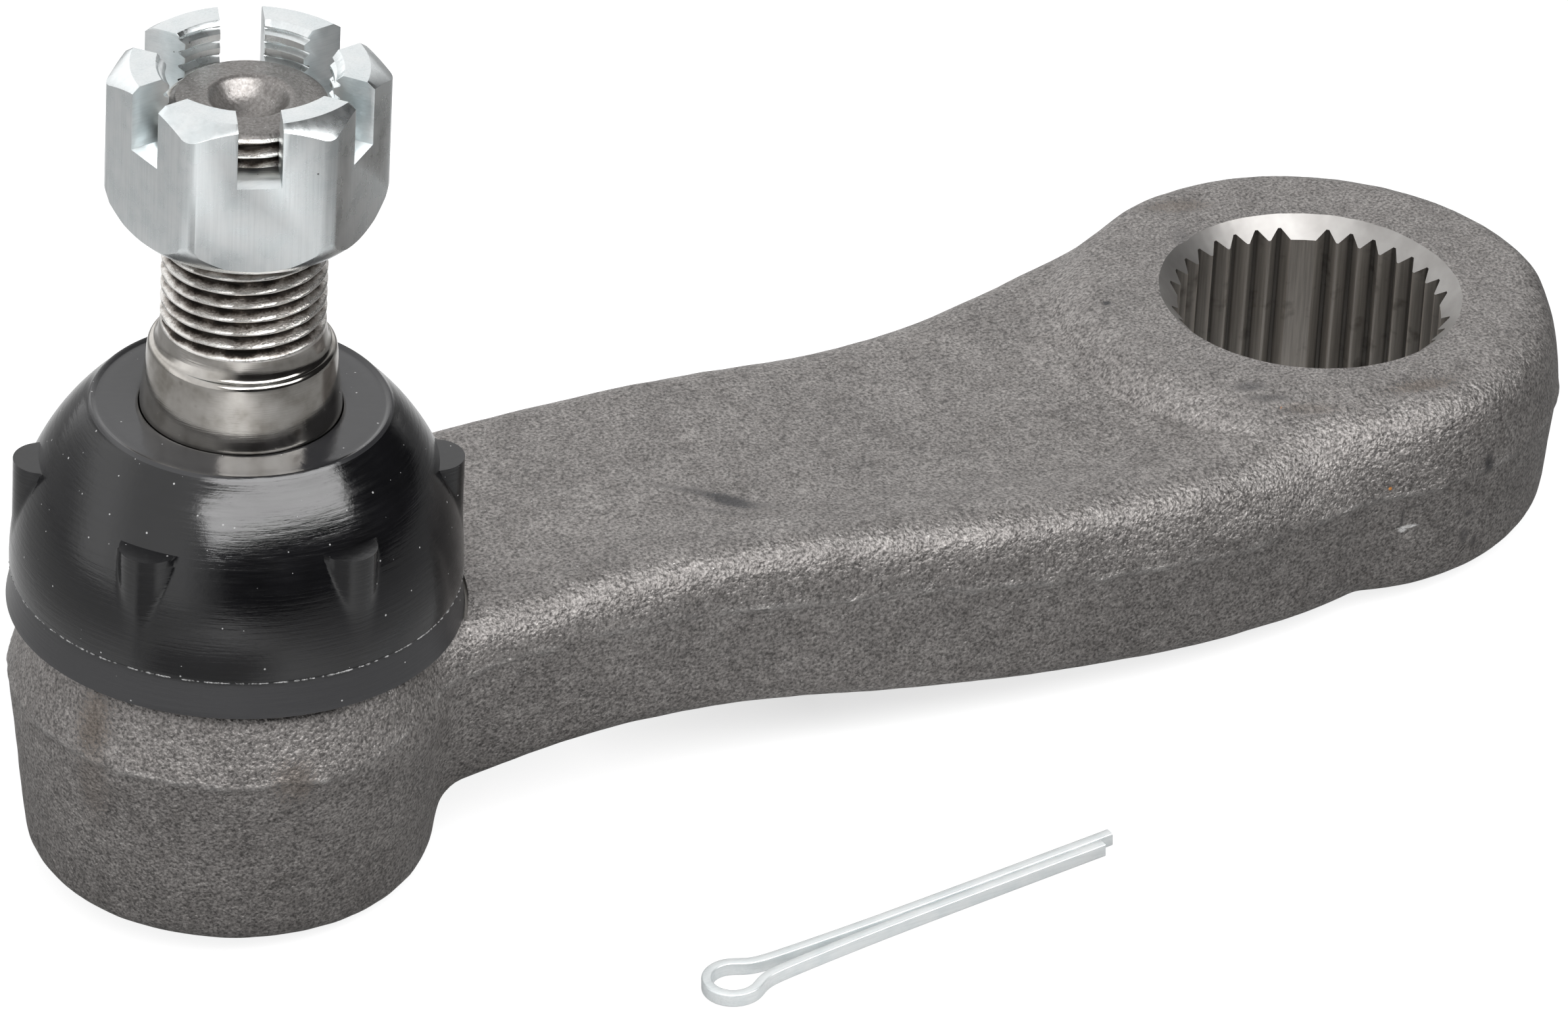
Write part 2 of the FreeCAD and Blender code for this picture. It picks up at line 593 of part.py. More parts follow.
doc.recompute()
failed = [item.Name for item in doc.Objects if {"Invalid", "Error"} & set(item.State)]
if failed:
    raise SystemExit("failed: " + ", ".join(failed))
os.makedirs("parts", exist_ok=True)
for body in (arm, stud, nut, boot, bearing, pressure_seat, spring, cover, pin):
    shape = body.Shape
    if shape.isNull() or not shape.isValid() or len(shape.Solids) != 1:
        raise SystemExit(body.Label + " is not one valid solid")
    shape.exportStep(f"parts/{body.Label}.step")
    print(body.Label, round(shape.Volume, 1), "mm3")
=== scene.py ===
# %% [markdown]
# # A pitman arm with its ball stud
# The arm turns the output of a steering gear into a sideways pull. One end is a serrated eye, the
# other holds a ball stud under a rubber boot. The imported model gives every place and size, so the
# first step loads it and keeps its box. Everything after that gives it the forms and finishes that a
# CAD solid leaves out: soft forged blends, a blasted skin, threads, rubber and zinc.

import json
import math

import bmesh
import bpy
import numpy as np
from mathutils import Matrix, Vector, noise


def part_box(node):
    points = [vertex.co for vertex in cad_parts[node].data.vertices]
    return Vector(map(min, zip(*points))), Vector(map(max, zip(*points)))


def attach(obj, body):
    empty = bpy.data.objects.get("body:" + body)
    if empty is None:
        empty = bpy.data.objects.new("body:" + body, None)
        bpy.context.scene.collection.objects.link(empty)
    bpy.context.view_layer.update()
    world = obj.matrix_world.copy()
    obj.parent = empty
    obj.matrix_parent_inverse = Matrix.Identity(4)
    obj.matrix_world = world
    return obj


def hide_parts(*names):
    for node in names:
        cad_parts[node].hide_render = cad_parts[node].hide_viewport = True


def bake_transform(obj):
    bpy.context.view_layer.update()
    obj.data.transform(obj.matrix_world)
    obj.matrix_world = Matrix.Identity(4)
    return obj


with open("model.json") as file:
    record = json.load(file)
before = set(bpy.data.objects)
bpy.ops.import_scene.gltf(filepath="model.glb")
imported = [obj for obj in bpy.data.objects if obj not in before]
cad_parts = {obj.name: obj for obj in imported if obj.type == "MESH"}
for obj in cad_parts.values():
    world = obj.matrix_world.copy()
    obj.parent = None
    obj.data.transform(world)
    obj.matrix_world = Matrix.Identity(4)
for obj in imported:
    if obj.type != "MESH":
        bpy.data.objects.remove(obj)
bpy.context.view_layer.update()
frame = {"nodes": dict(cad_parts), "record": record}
MM = 0.001
ball_centre = frame["record"]["behaviour"]["joints"][0]["pos_m"]
STUD_X, BALL_Z = ball_centre[0] / MM, ball_centre[2] / MM
print("ball centre, mm:", round(STUD_X, 1), round(BALL_Z, 1))

# %% [markdown]
# ## Helpers for meshes
# Sizes are easier to read in millimetres, and Blender works in metres, so one helper does the change
# for every piece. The others clean a mesh, shade it, make its live modifiers part of it, and say how
# big it came out.

# %% Mesh helpers


def piece(name, points_mm, faces, materials):
    """Object at the origin from points in millimetres."""
    mesh = bpy.data.meshes.new(name)
    mesh.from_pydata((np.asarray(points_mm, float) * MM).tolist(), [], faces)
    obj = bpy.data.objects.new(name, mesh)
    bpy.context.scene.collection.objects.link(obj)
    for material in materials:
        mesh.materials.append(material)
    return obj


def tidy_mesh(obj, merge_mm=0.0005, outward=True):
    """Merge doubles, drop empty faces and turn every face outwards."""
    mesh = bmesh.new()
    mesh.from_mesh(obj.data)
    bmesh.ops.remove_doubles(mesh, verts=mesh.verts, dist=merge_mm * MM)
    bmesh.ops.dissolve_degenerate(mesh, edges=mesh.edges, dist=merge_mm * MM)
    if outward:
        bmesh.ops.recalc_face_normals(mesh, faces=mesh.faces)
    mesh.to_mesh(obj.data)
    mesh.free()


def shade(obj, sharp_degrees):
    """Smooth shading, with edges sharper than the angle left crisp."""
    mesh = bmesh.new()
    mesh.from_mesh(obj.data)
    for face in mesh.faces:
        face.smooth = True
    for edge in mesh.edges:
        edge.smooth = edge.calc_face_angle(0.0) < math.radians(sharp_degrees)
    mesh.to_mesh(obj.data)
    mesh.free()


def settle(obj):
    """Make the live modifiers part of the object's own mesh."""
    evaluated = obj.evaluated_get(bpy.context.evaluated_depsgraph_get())
    mesh = bpy.data.meshes.new_from_object(evaluated)
    obj.modifiers.clear()
    old = obj.data
    obj.data = mesh
    bpy.data.meshes.remove(old)


def show_size(obj):
    low = np.min([v.co for v in obj.data.vertices], axis=0) / MM
    high = np.max([v.co for v in obj.data.vertices], axis=0) / MM
    print(obj.name, "mm", low.round(1).tolist(), high.round(1).tolist(), len(obj.data.polygons), "faces")


# %% [markdown]
# ## Helpers for materials
# A material is a list of nodes and the links between them. These helpers keep that list short, so
# that a finish reads as what is done to its colour, its roughness and its height, in that order.

# %% Nodes, materials and groups


def add(tree, kind, links=(), **values):
    """Node of a kind. A value whose name is a socket's is set there, others are properties."""
    made = tree.nodes.new(kind)
    for key, value in values.items():
        socket = made.inputs.get(key.replace("_", " "))
        if socket is not None and not hasattr(made, key):
            socket.default_value = value
        else:
            setattr(made, key, value)
    for source, target in links:
        tree.links.new(source, made.inputs[target])
    return made


def new_material(name, **values):
    """Principled material with values set on the shader's own sockets."""
    material = bpy.data.materials.new(name)
    material.use_nodes = True
    tree = material.node_tree
    shader = tree.nodes["Principled BSDF"]
    for key, value in values.items():
        shader.inputs[key.replace("_", " ")].default_value = value
    return material, tree, shader


def new_group(name, inputs, outputs):
    """Shader node group; inputs are name: default, outputs are name: kind."""
    tree = bpy.data.node_groups.new(name, "ShaderNodeTree")
    for key, value in inputs.items():
        kind = "NodeSocketVector" if key == "Vector" else "NodeSocketFloat"
        socket = tree.interface.new_socket(key, in_out="INPUT", socket_type=kind)
        if kind == "NodeSocketFloat":
            socket.default_value = value
    for key, kind in outputs.items():
        tree.interface.new_socket(key, in_out="OUTPUT", socket_type="NodeSocket" + kind)
    return tree, tree.nodes.new("NodeGroupInput"), tree.nodes.new("NodeGroupOutput")


def use_group(tree, group, links=(), **values):
    made = tree.nodes.new("ShaderNodeGroup")
    made.node_tree = group
    for key, value in values.items():
        made.inputs[key.replace("_", " ")].default_value = value
    for source, target in links:
        tree.links.new(source, made.inputs[target])
    return made


# %% Ramps, mixes and sums


def ramp(tree, source, stops):
    """Colour ramp; stops are (position, colour or grey)."""
    made = tree.nodes.new("ShaderNodeValToRGB")
    elements = made.color_ramp.elements
    while len(elements) < len(stops):
        elements.new(0.5)
    for element, (position, colour) in zip(elements, stops):
        element.position = position
        element.color = (*colour, 1) if isinstance(colour, tuple) else (colour, colour, colour, 1)
    tree.links.new(source, made.inputs["Fac"])
    return made.outputs["Color"]


def mix(tree, mask, first, second, blend="MIX"):
    """Colour mix; first and second are sockets or colours."""
    made = tree.nodes.new("ShaderNodeMix")
    made.data_type = "RGBA"
    made.blend_type = blend
    sockets = (made.inputs[0], made.inputs[6], made.inputs[7])
    for socket, value in zip(sockets, (mask, first, second)):
        if isinstance(value, bpy.types.NodeSocket):
            tree.links.new(value, socket)
        else:
            socket.default_value = value if isinstance(value, float) else (*value, 1)
    return made.outputs[2]


def maths(tree, operation, first, second=0.0, clamp=False):
    made = tree.nodes.new("ShaderNodeMath")
    made.operation = operation
    made.use_clamp = clamp
    for socket, value in zip(made.inputs, (first, second)):
        if isinstance(value, bpy.types.NodeSocket):
            tree.links.new(value, socket)
        else:
            socket.default_value = value
    return made.outputs[0]


# %% [markdown]
# ## Effects that several finishes share
# Grain is fine noise, with a broader tone beside it. Specks are small scattered flecks, used for dust,
# stains and the sparkle of blasted steel. Peening is the overlapping craters that shot leaves. Each
# is a group with its sizes in millimetres as inputs, so one group serves several finishes.

# %% Grain


def grain_effect():
    """Height and tone of grain of a given size."""
    tree, inside, outside = new_group(
        "grain", {"Vector": None, "Size": 0.5, "Detail": 3.0}, {"Height": "Float", "Tone": "Float"}
    )
    scale = maths(tree, "DIVIDE", 1000.0, inside.outputs["Size"])
    fine = add(tree, "ShaderNodeTexNoise", [
        (inside.outputs["Vector"], "Vector"), (scale, "Scale"), (inside.outputs["Detail"], "Detail"),
    ], Roughness=0.6)
    broad = maths(tree, "MULTIPLY", scale, 0.12)
    tone = add(tree, "ShaderNodeTexNoise", [
        (inside.outputs["Vector"], "Vector"), (broad, "Scale"),
    ], Detail=3.0, Roughness=0.55)
    tree.links.new(fine.outputs["Fac"], outside.inputs["Height"])
    tree.links.new(tone.outputs["Fac"], outside.inputs["Tone"])
    return tree


# %% Specks


def specks_effect():
    """Mask of scattered specks: their spacing, how many of the places hold one, and their size."""
    tree, inside, outside = new_group(
        "specks", {"Vector": None, "Spacing": 1.0, "Share": 0.2, "Size": 0.3}, {"Mask": "Float"}
    )
    scale = maths(tree, "DIVIDE", 1000.0, inside.outputs["Spacing"])
    cells = add(tree, "ShaderNodeTexVoronoi", [(inside.outputs["Vector"], "Vector"), (scale, "Scale")])
    split = add(tree, "ShaderNodeSeparateColor", [(cells.outputs["Color"], "Color")])
    chosen = maths(tree, "LESS_THAN", split.outputs["Red"], inside.outputs["Share"])
    own = maths(tree, "MULTIPLY", inside.outputs["Size"], maths(tree, "ADD", split.outputs["Green"], 0.4))
    depth = maths(tree, "DIVIDE", maths(tree, "SUBTRACT", own, cells.outputs["Distance"]), own)
    near = maths(tree, "MULTIPLY", depth, 2.5, clamp=True)
    tree.links.new(maths(tree, "MULTIPLY", chosen, near), outside.inputs["Mask"])
    return tree


# %% Peening


def peening_effect():
    """Height of a shot-blasted skin: overlapping shallow craters, a little uneven in shape."""
    tree, inside, outside = new_group("peening", {"Vector": None, "Size": 0.7}, {"Height": "Float"})
    scale = maths(tree, "DIVIDE", 1000.0, inside.outputs["Size"])
    sway = add(tree, "ShaderNodeTexNoise", [
        (inside.outputs["Vector"], "Vector"), (scale, "Scale"),
    ], Detail=1.0)
    sway = add(tree, "ShaderNodeVectorMath", [(sway.outputs["Color"], 0)], operation="SCALE", Scale=0.0004)
    swayed = add(tree, "ShaderNodeVectorMath", [
        (inside.outputs["Vector"], 0), (sway.outputs["Vector"], 1),
    ], operation="ADD")
    craters = add(tree, "ShaderNodeTexVoronoi", [
        (swayed.outputs["Vector"], "Vector"), (scale, "Scale"),
    ])
    tree.links.new(craters.outputs["Distance"], outside.inputs["Height"])
    return tree


GRAIN, SPECKS, PEENING = grain_effect(), specks_effect(), peening_effect()
print("effects:", GRAIN.name, SPECKS.name, PEENING.name)


def place(tree):
    """Object coordinates, in metres."""
    return tree.nodes.new("ShaderNodeTexCoord").outputs["Object"]


def bump(tree, shader, height, strength, distance_mm):
    made = add(tree, "ShaderNodeBump", [(height, "Height")], Strength=strength)
    made.inputs["Distance"].default_value = distance_mm * MM
    tree.links.new(made.outputs["Normal"], shader.inputs["Normal"])
    return made


# %% [markdown]
# ## Blasted forging
# The arm is hot forged, trimmed along its parting line and shot blasted, which leaves a matt grey
# skin full of tiny facets. Some facets catch the light, so the finish is metal with a rough grain
# and scattered brighter specks, and the trimmed flash line is a ragged paler band. A picture of such
# a skin would stretch over the curved sides and repeat. Noise in the object's own coordinates does
# neither, so the grain is noise at three sizes, which darkens the hollows and also feeds the bump.
# Smudges, rust and nicks aren't random: each is an ellipsoid at its own place with a ragged edge.

# %% Marks on the forging
# Each mark is its centre in mm, its radii in mm, its turn about Z in degrees, and its strength.
SMUDGES = [
    ((-72.6, -7.4, -1.3), (3.1, 1.1, 2.0), -50, 0.85),
    ((-73.4, -6.2, -1.3), (6.0, 0.7, 2.0), -44, 0.45),
    ((-74.8, -8.6, -1.3), (3.6, 0.5, 2.0), -40, 0.30),
    ((-15.6, -13.1, 0.0), (1.7, 0.8, 1.5), -20, 0.55),
    ((-14.6, -15.8, 0.0), (2.6, 0.6, 1.5), -30, 0.45),
    ((-6.3, 14.8, 0.0), (1.0, 2.2, 1.5), -25, 0.35),
    ((-20.0, 7.1, 0.0), (0.55, 0.45, 1.5), 0, 0.9),
    ((6.1, -25.1, -8.5), (0.8, 1.5, 1.3), 0, 0.75),
    ((4.0, -25.2, -13.7), (0.6, 1.5, 0.5), 0, 0.65),
    ((3.8, -25.0, -16.4), (0.7, 1.5, 0.9), 0, 0.55),
    ((5.3, -24.7, -17.6), (0.4, 1.5, 0.9), 0, 0.55),
    ((-4.2, -25.3, -12.2), (0.17, 1.5, 1.5), 0, 0.6),
    ((-3.1, -25.5, -10.8), (1.3, 1.5, 0.15), 0, 0.45),
]
TINTS = [
    ((-143.6, -8.0, -6.6), (2.2, 2.2, 4.2), 0, 0.55),
    ((-143.6, -8.6, -13.0), (1.6, 2.2, 6.0), 0, 0.30),
    ((-128.4, -21.4, -10.3), (2.4, 2.0, 2.6), 0, 0.40),
    ((-3.2, 20.4, 0.0), (3.6, 1.5, 2.0), -20, 0.45),
    ((0.6, -20.2, 0.0), (4.2, 1.0, 1.5), -8, 0.50),
    ((-12.0, -18.6, -0.3), (3.5, 0.9, 1.5), -25, 0.30),
]
RUST = [
    ((-14.6, -17.4, -0.1), (0.34, 0.34, 0.6), 0, 1.0),
    ((-5.9, -25.2, -8.1), (0.24, 0.8, 0.24), 0, 1.0),
]
NICKS = [
    ((-3.4, -25.4, -13.2), (1.4, 1.0, 0.24), 0, 1.0),
    ((-4.0, -25.4, -13.5), (0.5, 1.0, 0.36), 0, 1.0),
]


def marks_mask(tree, spot, marks, ragged):
    """Mask of the marks in a list, each with a ragged edge."""
    total = 0.0
    for centre, radii, turn, strength in marks:
        local = add(
            tree, "ShaderNodeMapping", [(spot, "Vector")], vector_type="TEXTURE",
            Location=[c * MM for c in centre], Scale=[r * MM for r in radii],
            Rotation=(0, 0, math.radians(turn)),
        )
        away = add(tree, "ShaderNodeVectorMath", [(local.outputs["Vector"], 0)], operation="LENGTH")
        level = maths(tree, "ADD", maths(tree, "SUBTRACT", 1.0, away.outputs["Value"]), ragged)
        level = maths(tree, "MULTIPLY", level, 2.2, clamp=True)
        total = maths(tree, "MAXIMUM", maths(tree, "MULTIPLY", level, strength), total)
    return total


print("marks:", len(SMUDGES + TINTS + RUST + NICKS))

# %% Forging material


def forging_material():
    material, tree, shader = new_material("blasted_forging", Metallic=0.8)
    spot = place(tree)
    grain = use_group(tree, GRAIN, [(spot, "Vector")], Size=0.31, Detail=4.0)
    sand = use_group(tree, GRAIN, [(spot, "Vector")], Size=0.9, Detail=2.0)
    peened = use_group(tree, PEENING, [(spot, "Vector")], Size=0.40)
    colour = ramp(tree, grain.outputs["Tone"], [
        (0.30, (0.240, 0.226, 0.217)), (0.5, (0.272, 0.257, 0.248)), (0.72, (0.304, 0.288, 0.278)),
    ])
    hollows = ramp(tree, grain.outputs["Height"], [(0.36, 0.46), (0.51, 1.0), (0.66, 1.44)])
    colour = mix(tree, 1.0, colour, hollows, "MULTIPLY")
    clouds = ramp(tree, sand.outputs["Tone"], [(0.34, 0.90), (0.50, 1.0), (0.66, 1.07)])
    sandy = ramp(tree, sand.outputs["Height"], [(0.36, 0.88), (0.50, 1.0), (0.64, 1.11)])
    for tone in (clouds, sandy):
        colour = mix(tree, 1.0, colour, tone, "MULTIPLY")
    spark = use_group(tree, SPECKS, [(spot, "Vector")], Spacing=0.40, Share=0.22, Size=0.20)
    colour = mix(tree, maths(tree, "MULTIPLY", spark.outputs["Mask"], 0.60), colour, (0.58, 0.57, 0.56))
    flash = tree.nodes.new("ShaderNodeAttribute")
    flash.attribute_name = "flash"
    colour = mix(tree, flash.outputs["Fac"], colour, (0.46, 0.45, 0.44))
    ragged = maths(tree, "MULTIPLY", maths(tree, "SUBTRACT", grain.outputs["Height"], 0.5), 3.2)
    crisp = maths(tree, "MULTIPLY", ragged, 0.25)
    for marks, tint, edge in (
        (SMUDGES, (0.060, 0.060, 0.064), ragged), (TINTS, (0.150, 0.118, 0.092), ragged),
        (RUST, (0.85, 0.36, 0.10), crisp), (NICKS, (0.92, 0.91, 0.90), crisp),
    ):
        colour = mix(tree, marks_mask(tree, spot, marks, edge), colour, tint)
    tree.links.new(colour, shader.inputs["Base Color"])
    rough = maths(tree, "MULTIPLY", spark.outputs["Mask"], -0.18)
    tree.links.new(maths(tree, "ADD", rough, 0.47), shader.inputs["Roughness"])
    height = maths(tree, "MULTIPLY", peened.outputs["Height"], -0.45)
    height = maths(tree, "ADD", height, maths(tree, "MULTIPLY", grain.outputs["Height"], 0.8))
    height = maths(tree, "ADD", height, maths(tree, "MULTIPLY", sand.outputs["Height"], 1.6))
    bump(tree, shader, height, 1.0, 0.15)
    return material


FORGED = forging_material()
print("finish:", FORGED.name)

# %% [markdown]
# The broach and the countersink leave bare metal in the eye. The teeth carry fine lines along the
# bore, oil sits in spots, and painted shade darkens the notches with depth. Ambient occlusion could find
# the notches, but it costs time and isn't kept in an export, while the distance from the axis gives the
# same answer.

# %% Broached teeth
TOOTH_R, NOTCH_R = 13.44, 14.35


def machined_material():
    """Broached teeth: fine lines along the bore, dark oil in spots and painted shade down in the notches."""
    material, tree, shader = new_material("broached_bore", Metallic=0.9, Roughness=0.36)
    spot = place(tree)
    stretch = add(tree, "ShaderNodeMapping", [(spot, "Vector")], Scale=(1.0, 1.0, 0.03))
    lines = use_group(tree, GRAIN, [(stretch.outputs["Vector"], "Vector")], Size=0.22)
    oil = use_group(tree, GRAIN, [(spot, "Vector")], Size=0.32, Detail=5.0)
    colour = ramp(tree, lines.outputs["Height"], [
        (0.35, (0.54, 0.506, 0.468)), (0.65, (0.72, 0.677, 0.628)),
    ])
    dark = ramp(tree, oil.outputs["Tone"], [(0.58, 0.0), (0.72, 0.5)])
    colour = mix(tree, dark, colour, (0.115, 0.100, 0.085))
    flat = add(tree, "ShaderNodeMapping", [(spot, "Vector")], Scale=(1.0, 1.0, 0.0))
    from_axis = add(tree, "ShaderNodeVectorMath", [(flat.outputs["Vector"], 0)], operation="LENGTH")
    into_notch = maths(tree, "SUBTRACT", from_axis.outputs["Value"], (TOOTH_R - 0.04) * MM)
    into_notch = maths(tree, "DIVIDE", into_notch, MM)
    # Painted shade: the colour darkens with depth into each notch, as ambient occlusion would.
    notch_shade = ramp(tree, into_notch, [(0.04, 1.0), (0.14, 0.84), (0.30, 0.64), (0.74, 0.54), (0.90, 0.26)])
    colour = mix(tree, 1.0, colour, notch_shade, "MULTIPLY")
    tree.links.new(colour, shader.inputs["Base Color"])
    bump(tree, shader, lines.outputs["Height"], 0.18, 0.03)
    return material


MACHINED = machined_material()
print("finish:", MACHINED.name)

# %% Countersunk mouth


def countersunk_material():
    """Turned chamfer at the bore's mouth: bright, with fine marks running round it."""
    material, tree, shader = new_material("countersunk", Metallic=0.9, Roughness=0.44)
    spot = place(tree)
    split = add(tree, "ShaderNodeSeparateXYZ", [(spot, "Vector")])
    rings = add(tree, "ShaderNodeCombineXYZ", [(split.outputs["Z"], "Z")])
    lines = use_group(tree, GRAIN, [(rings.outputs["Vector"], "Vector")], Size=0.16)
    blotch = use_group(tree, GRAIN, [(spot, "Vector")], Size=0.4)
    colour = ramp(tree, blotch.outputs["Tone"], [
        (0.35, (0.305, 0.294, 0.284)), (0.65, (0.375, 0.364, 0.353)),
    ])
    stain = use_group(tree, SPECKS, [(spot, "Vector")], Spacing=1.5, Share=0.10, Size=0.16)
    colour = mix(tree, maths(tree, "MULTIPLY", stain.outputs["Mask"], 0.5), colour, (0.20, 0.19, 0.18))
    tree.links.new(colour, shader.inputs["Base Color"])
    bump(tree, shader, lines.outputs["Height"], 0.12, 0.02)
    return material


COUNTERSUNK = countersunk_material()
print("finish:", COUNTERSUNK.name)

# %% [markdown]
# ## The arm's blank
# A die forging has soft blends everywhere, and a solid built from sections lacks them. Bevels could
# round the edges, but not the long creases where the arm runs into the housing and the eye. So a
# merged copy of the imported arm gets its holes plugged, is remeshed into even small faces, and is then
# relaxed: hollow creases fill up as a die's radii would, and outer edges stay as they are.

# %% Copies, joins and turned solids


def merged_copy(node, name):
    obj = bpy.data.objects.new(name, frame["nodes"][node].data.copy())
    bpy.context.scene.collection.objects.link(obj)
    tidy_mesh(obj, outward=False)
    return obj


def join(target, *others):
    """Put other objects' faces into the target's mesh."""
    mesh = bmesh.new()
    mesh.from_mesh(target.data)
    for other in others:
        mesh.from_mesh(other.data)
        bpy.data.objects.remove(other)
    mesh.to_mesh(target.data)
    mesh.free()


def spread(profile, columns):
    """Turns for the columns, and a profile of (radius, height) repeated in each column."""
    profile = np.array(profile, float)
    turns = np.linspace(0, 2 * math.pi, columns, endpoint=False)
    return turns, np.repeat(profile[:, :1], columns, axis=1), np.repeat(profile[:, 1:], columns, axis=1)


def grid(name, radius, height, materials, centre_x=STUD_X):
    """Closed solid from a table of radii and heights: one row for each ring, one column a turn."""
    rows, columns = radius.shape
    turns = np.linspace(0, 2 * math.pi, columns, endpoint=False)
    points = np.stack([centre_x + radius * np.cos(turns), radius * np.sin(turns), height], axis=2)
    first = np.arange(rows - 1)[:, None] * columns
    i = np.arange(columns)[None, :]
    j = (i + 1) % columns
    faces = np.stack([first + i, first + j, first + columns + j, first + columns + i], axis=2)
    obj = piece(name, points.reshape(-1, 3), faces.reshape(-1, 4).tolist(), materials)
    tidy_mesh(obj)
    return obj


def turned(name, profile, materials, segments=96, centre_x=STUD_X):
    """Solid of revolution from a profile of (radius, height), from one pole to the other."""
    _, radius, height = spread(profile, segments)
    return grid(name, radius, height, materials, centre_x)


# %% Plugged copy, remeshed


def plug(name, radius, low, high, centre_x):
    """Disc that fills a hole between two heights."""
    return turned(name, [(0, low), (radius, low), (radius, high), (0, high)], [FORGED], centre_x=centre_x)


VOXEL = 0.56
EYE_LOW, HOUSING_LOW, HOUSING_TOP = -22.0, -30.3, -2.8
arm = merged_copy("arm_forging", "arm_skin")
arm.data.materials.clear()
arm.data.materials.append(FORGED)
join(arm, plug("eye_plug", 18.5, EYE_LOW, 0, 0), plug("ball_plug", 17.4, HOUSING_LOW, HOUSING_TOP, STUD_X))
remesh = arm.modifiers.new("even", "REMESH")
remesh.mode = "VOXEL"
remesh.voxel_size = VOXEL * MM
settle(arm)
show_size(arm)

# %% Points as arrays


def mesh_arrays(obj):
    """Points in millimetres and the edges of a mesh."""
    mesh = obj.data
    points = np.empty(len(mesh.vertices) * 3)
    mesh.vertices.foreach_get("co", points)
    edges = np.empty(len(mesh.edges) * 2, int)
    mesh.edges.foreach_get("vertices", edges)
    return points.reshape(-1, 3) / MM, edges.reshape(-1, 2)


def set_points(obj, points):
    obj.data.vertices.foreach_set("co", (points * MM).ravel())
    obj.data.update()


def point_normals(obj):
    normals = np.empty(len(obj.data.vertices) * 3)
    obj.data.vertices.foreach_get("normal", normals)
    return normals.reshape(-1, 3)


def set_attribute(obj, name, values):
    """A number at each point, which a material can read by its name."""
    attribute = obj.data.attributes.new(name, "FLOAT", "POINT")
    attribute.data.foreach_set("value", np.asarray(values, np.float32))


# %% Relax the hollow creases


def neighbour_mean(points, edges, degree):
    total = np.zeros_like(points)
    for axis in range(3):
        for here, there in ((0, 1), (1, 0)):
            total[:, axis] += np.bincount(edges[:, here], points[edges[:, there], axis], len(points))
    return total / degree[:, None]


def relax(obj, passes, hollow, crest):
    """Move points towards their neighbours' mean: by one share in hollows, another on crests."""
    points, edges = mesh_arrays(obj)
    degree = np.bincount(edges.ravel(), minlength=len(points)).astype(float)
    for step in range(passes):
        if step % 5 == 0:
            set_points(obj, points)
            normals = point_normals(obj)
        move = neighbour_mean(points, edges, degree) - points
        rise = (move * normals).sum(1)
        share = np.where(rise > 0, hollow, crest)
        points = points + move * share[:, None]
    set_points(obj, points)


relax(arm, 8, 0.5, 0.4)
relax(arm, 70, 0.62, 0.03)
show_size(arm)

# %% [markdown]
# The die leaves the near edge high where the arm runs into the eye, so that edge and the eye's rim
# are one soft line, and the step up to the eye is a ramp. First the edge is lifted, then the points
# round the eye are moved towards their neighbours until the ramp and the rim are soft enough.

# %% Run of the arm into the eye
LIFT_X = [-95, -76, -58, -42, -28, -14, -6, 2]
LIFT_Z = [0, 0.6, 0.8, 1.4, 1.8, 1.2, 0.3, 0]
SIDE_X = [-60, -50, -40, -30, -20, -10, 0]
SIDE_Y = [-21.2, -22.9, -24.4, -25.4, -25.8, -25.3, -25.8]


def smooth_step(value, start, end):
    """From 0 at the start to 1 at the end, level at both."""
    level = np.clip((value - start) / (end - start), 0, 1)
    return level * level * (3 - 2 * level)


def lift_near_edge(obj):
    points, _ = mesh_arrays(obj)
    x, y, z = points.T
    inwards = y - np.interp(x, SIDE_X, SIDE_Y)
    level = smooth_step(inwards, 13, 3) * smooth_step(z, -9.5, -4.5) * smooth_step(z, -0.1, -1.6)
    points[:, 2] += level * np.interp(x, LIFT_X, LIFT_Z)
    set_points(obj, points)


def soften(obj, passes, weight):
    """Move each point towards its neighbours' mean by its own weight."""
    points, edges = mesh_arrays(obj)
    degree = np.bincount(edges.ravel(), minlength=len(points)).astype(float)
    for _ in range(passes):
        points += (neighbour_mean(points, edges, degree) - points) * weight[:, None]
    set_points(obj, points)


lift_near_edge(arm)
points, _ = mesh_arrays(arm)
from_bore = np.hypot(points[:, 0], points[:, 1])
high = smooth_step(points[:, 2], -9.0, -6.0) * smooth_step(from_bore, 17.5, 20.5)
near_rim = smooth_step(points[:, 1], -4, -12) * smooth_step(points[:, 0], -50, -36)
ramp_side = smooth_step(points[:, 0], -6, -14) * smooth_step(from_bore, 36, 31)
soften(arm, 70, 0.5 * high * np.maximum(near_rim, 0.4 * ramp_side))
meeting = np.exp(-((points[:, 0] + 9) / 11) ** 2 - ((points[:, 1] + 23) / 8) ** 2)
soften(arm, 220, 0.5 * high * np.clip(1.3 * meeting, 0, 1))
show_size(arm)

# %% [markdown]
# ## Forged surface
# The skin isn't flat: scale and blasting leave low lumps, and the trimmed flash stands a little proud
# along the parting line. Bump in the material could draw both, but only moved points show in the
# outline and in an exported mesh. The faces near the line are split first, so the ridge stays thin.

# %% Lumps and flash line
PARTING_X = [-150, -123, -104, -88, -64, -42, -26, -8, 30]
PARTING_Z = [-10.7, -10.4, -7.2, -6.4, -7.6, -9.8, -10.2, -9.2, -8.8]
FLASH_HEIGHT, FLASH_WIDTH, DIE_STEP = 0.22, 0.34, 0.10


def noise_at(points, size_mm, seed):
    """Smooth noise from -1 to 1 at each point."""
    shift = Vector((seed * 7.31, seed * 3.17, seed * 5.73))
    return np.array([noise.noise(Vector(p) / size_mm + shift) for p in points])


def above_parting(points):
    """Height above the parting line, for points in millimetres."""
    return points[:, 2] - np.interp(points[:, 0], PARTING_X, PARTING_Z)


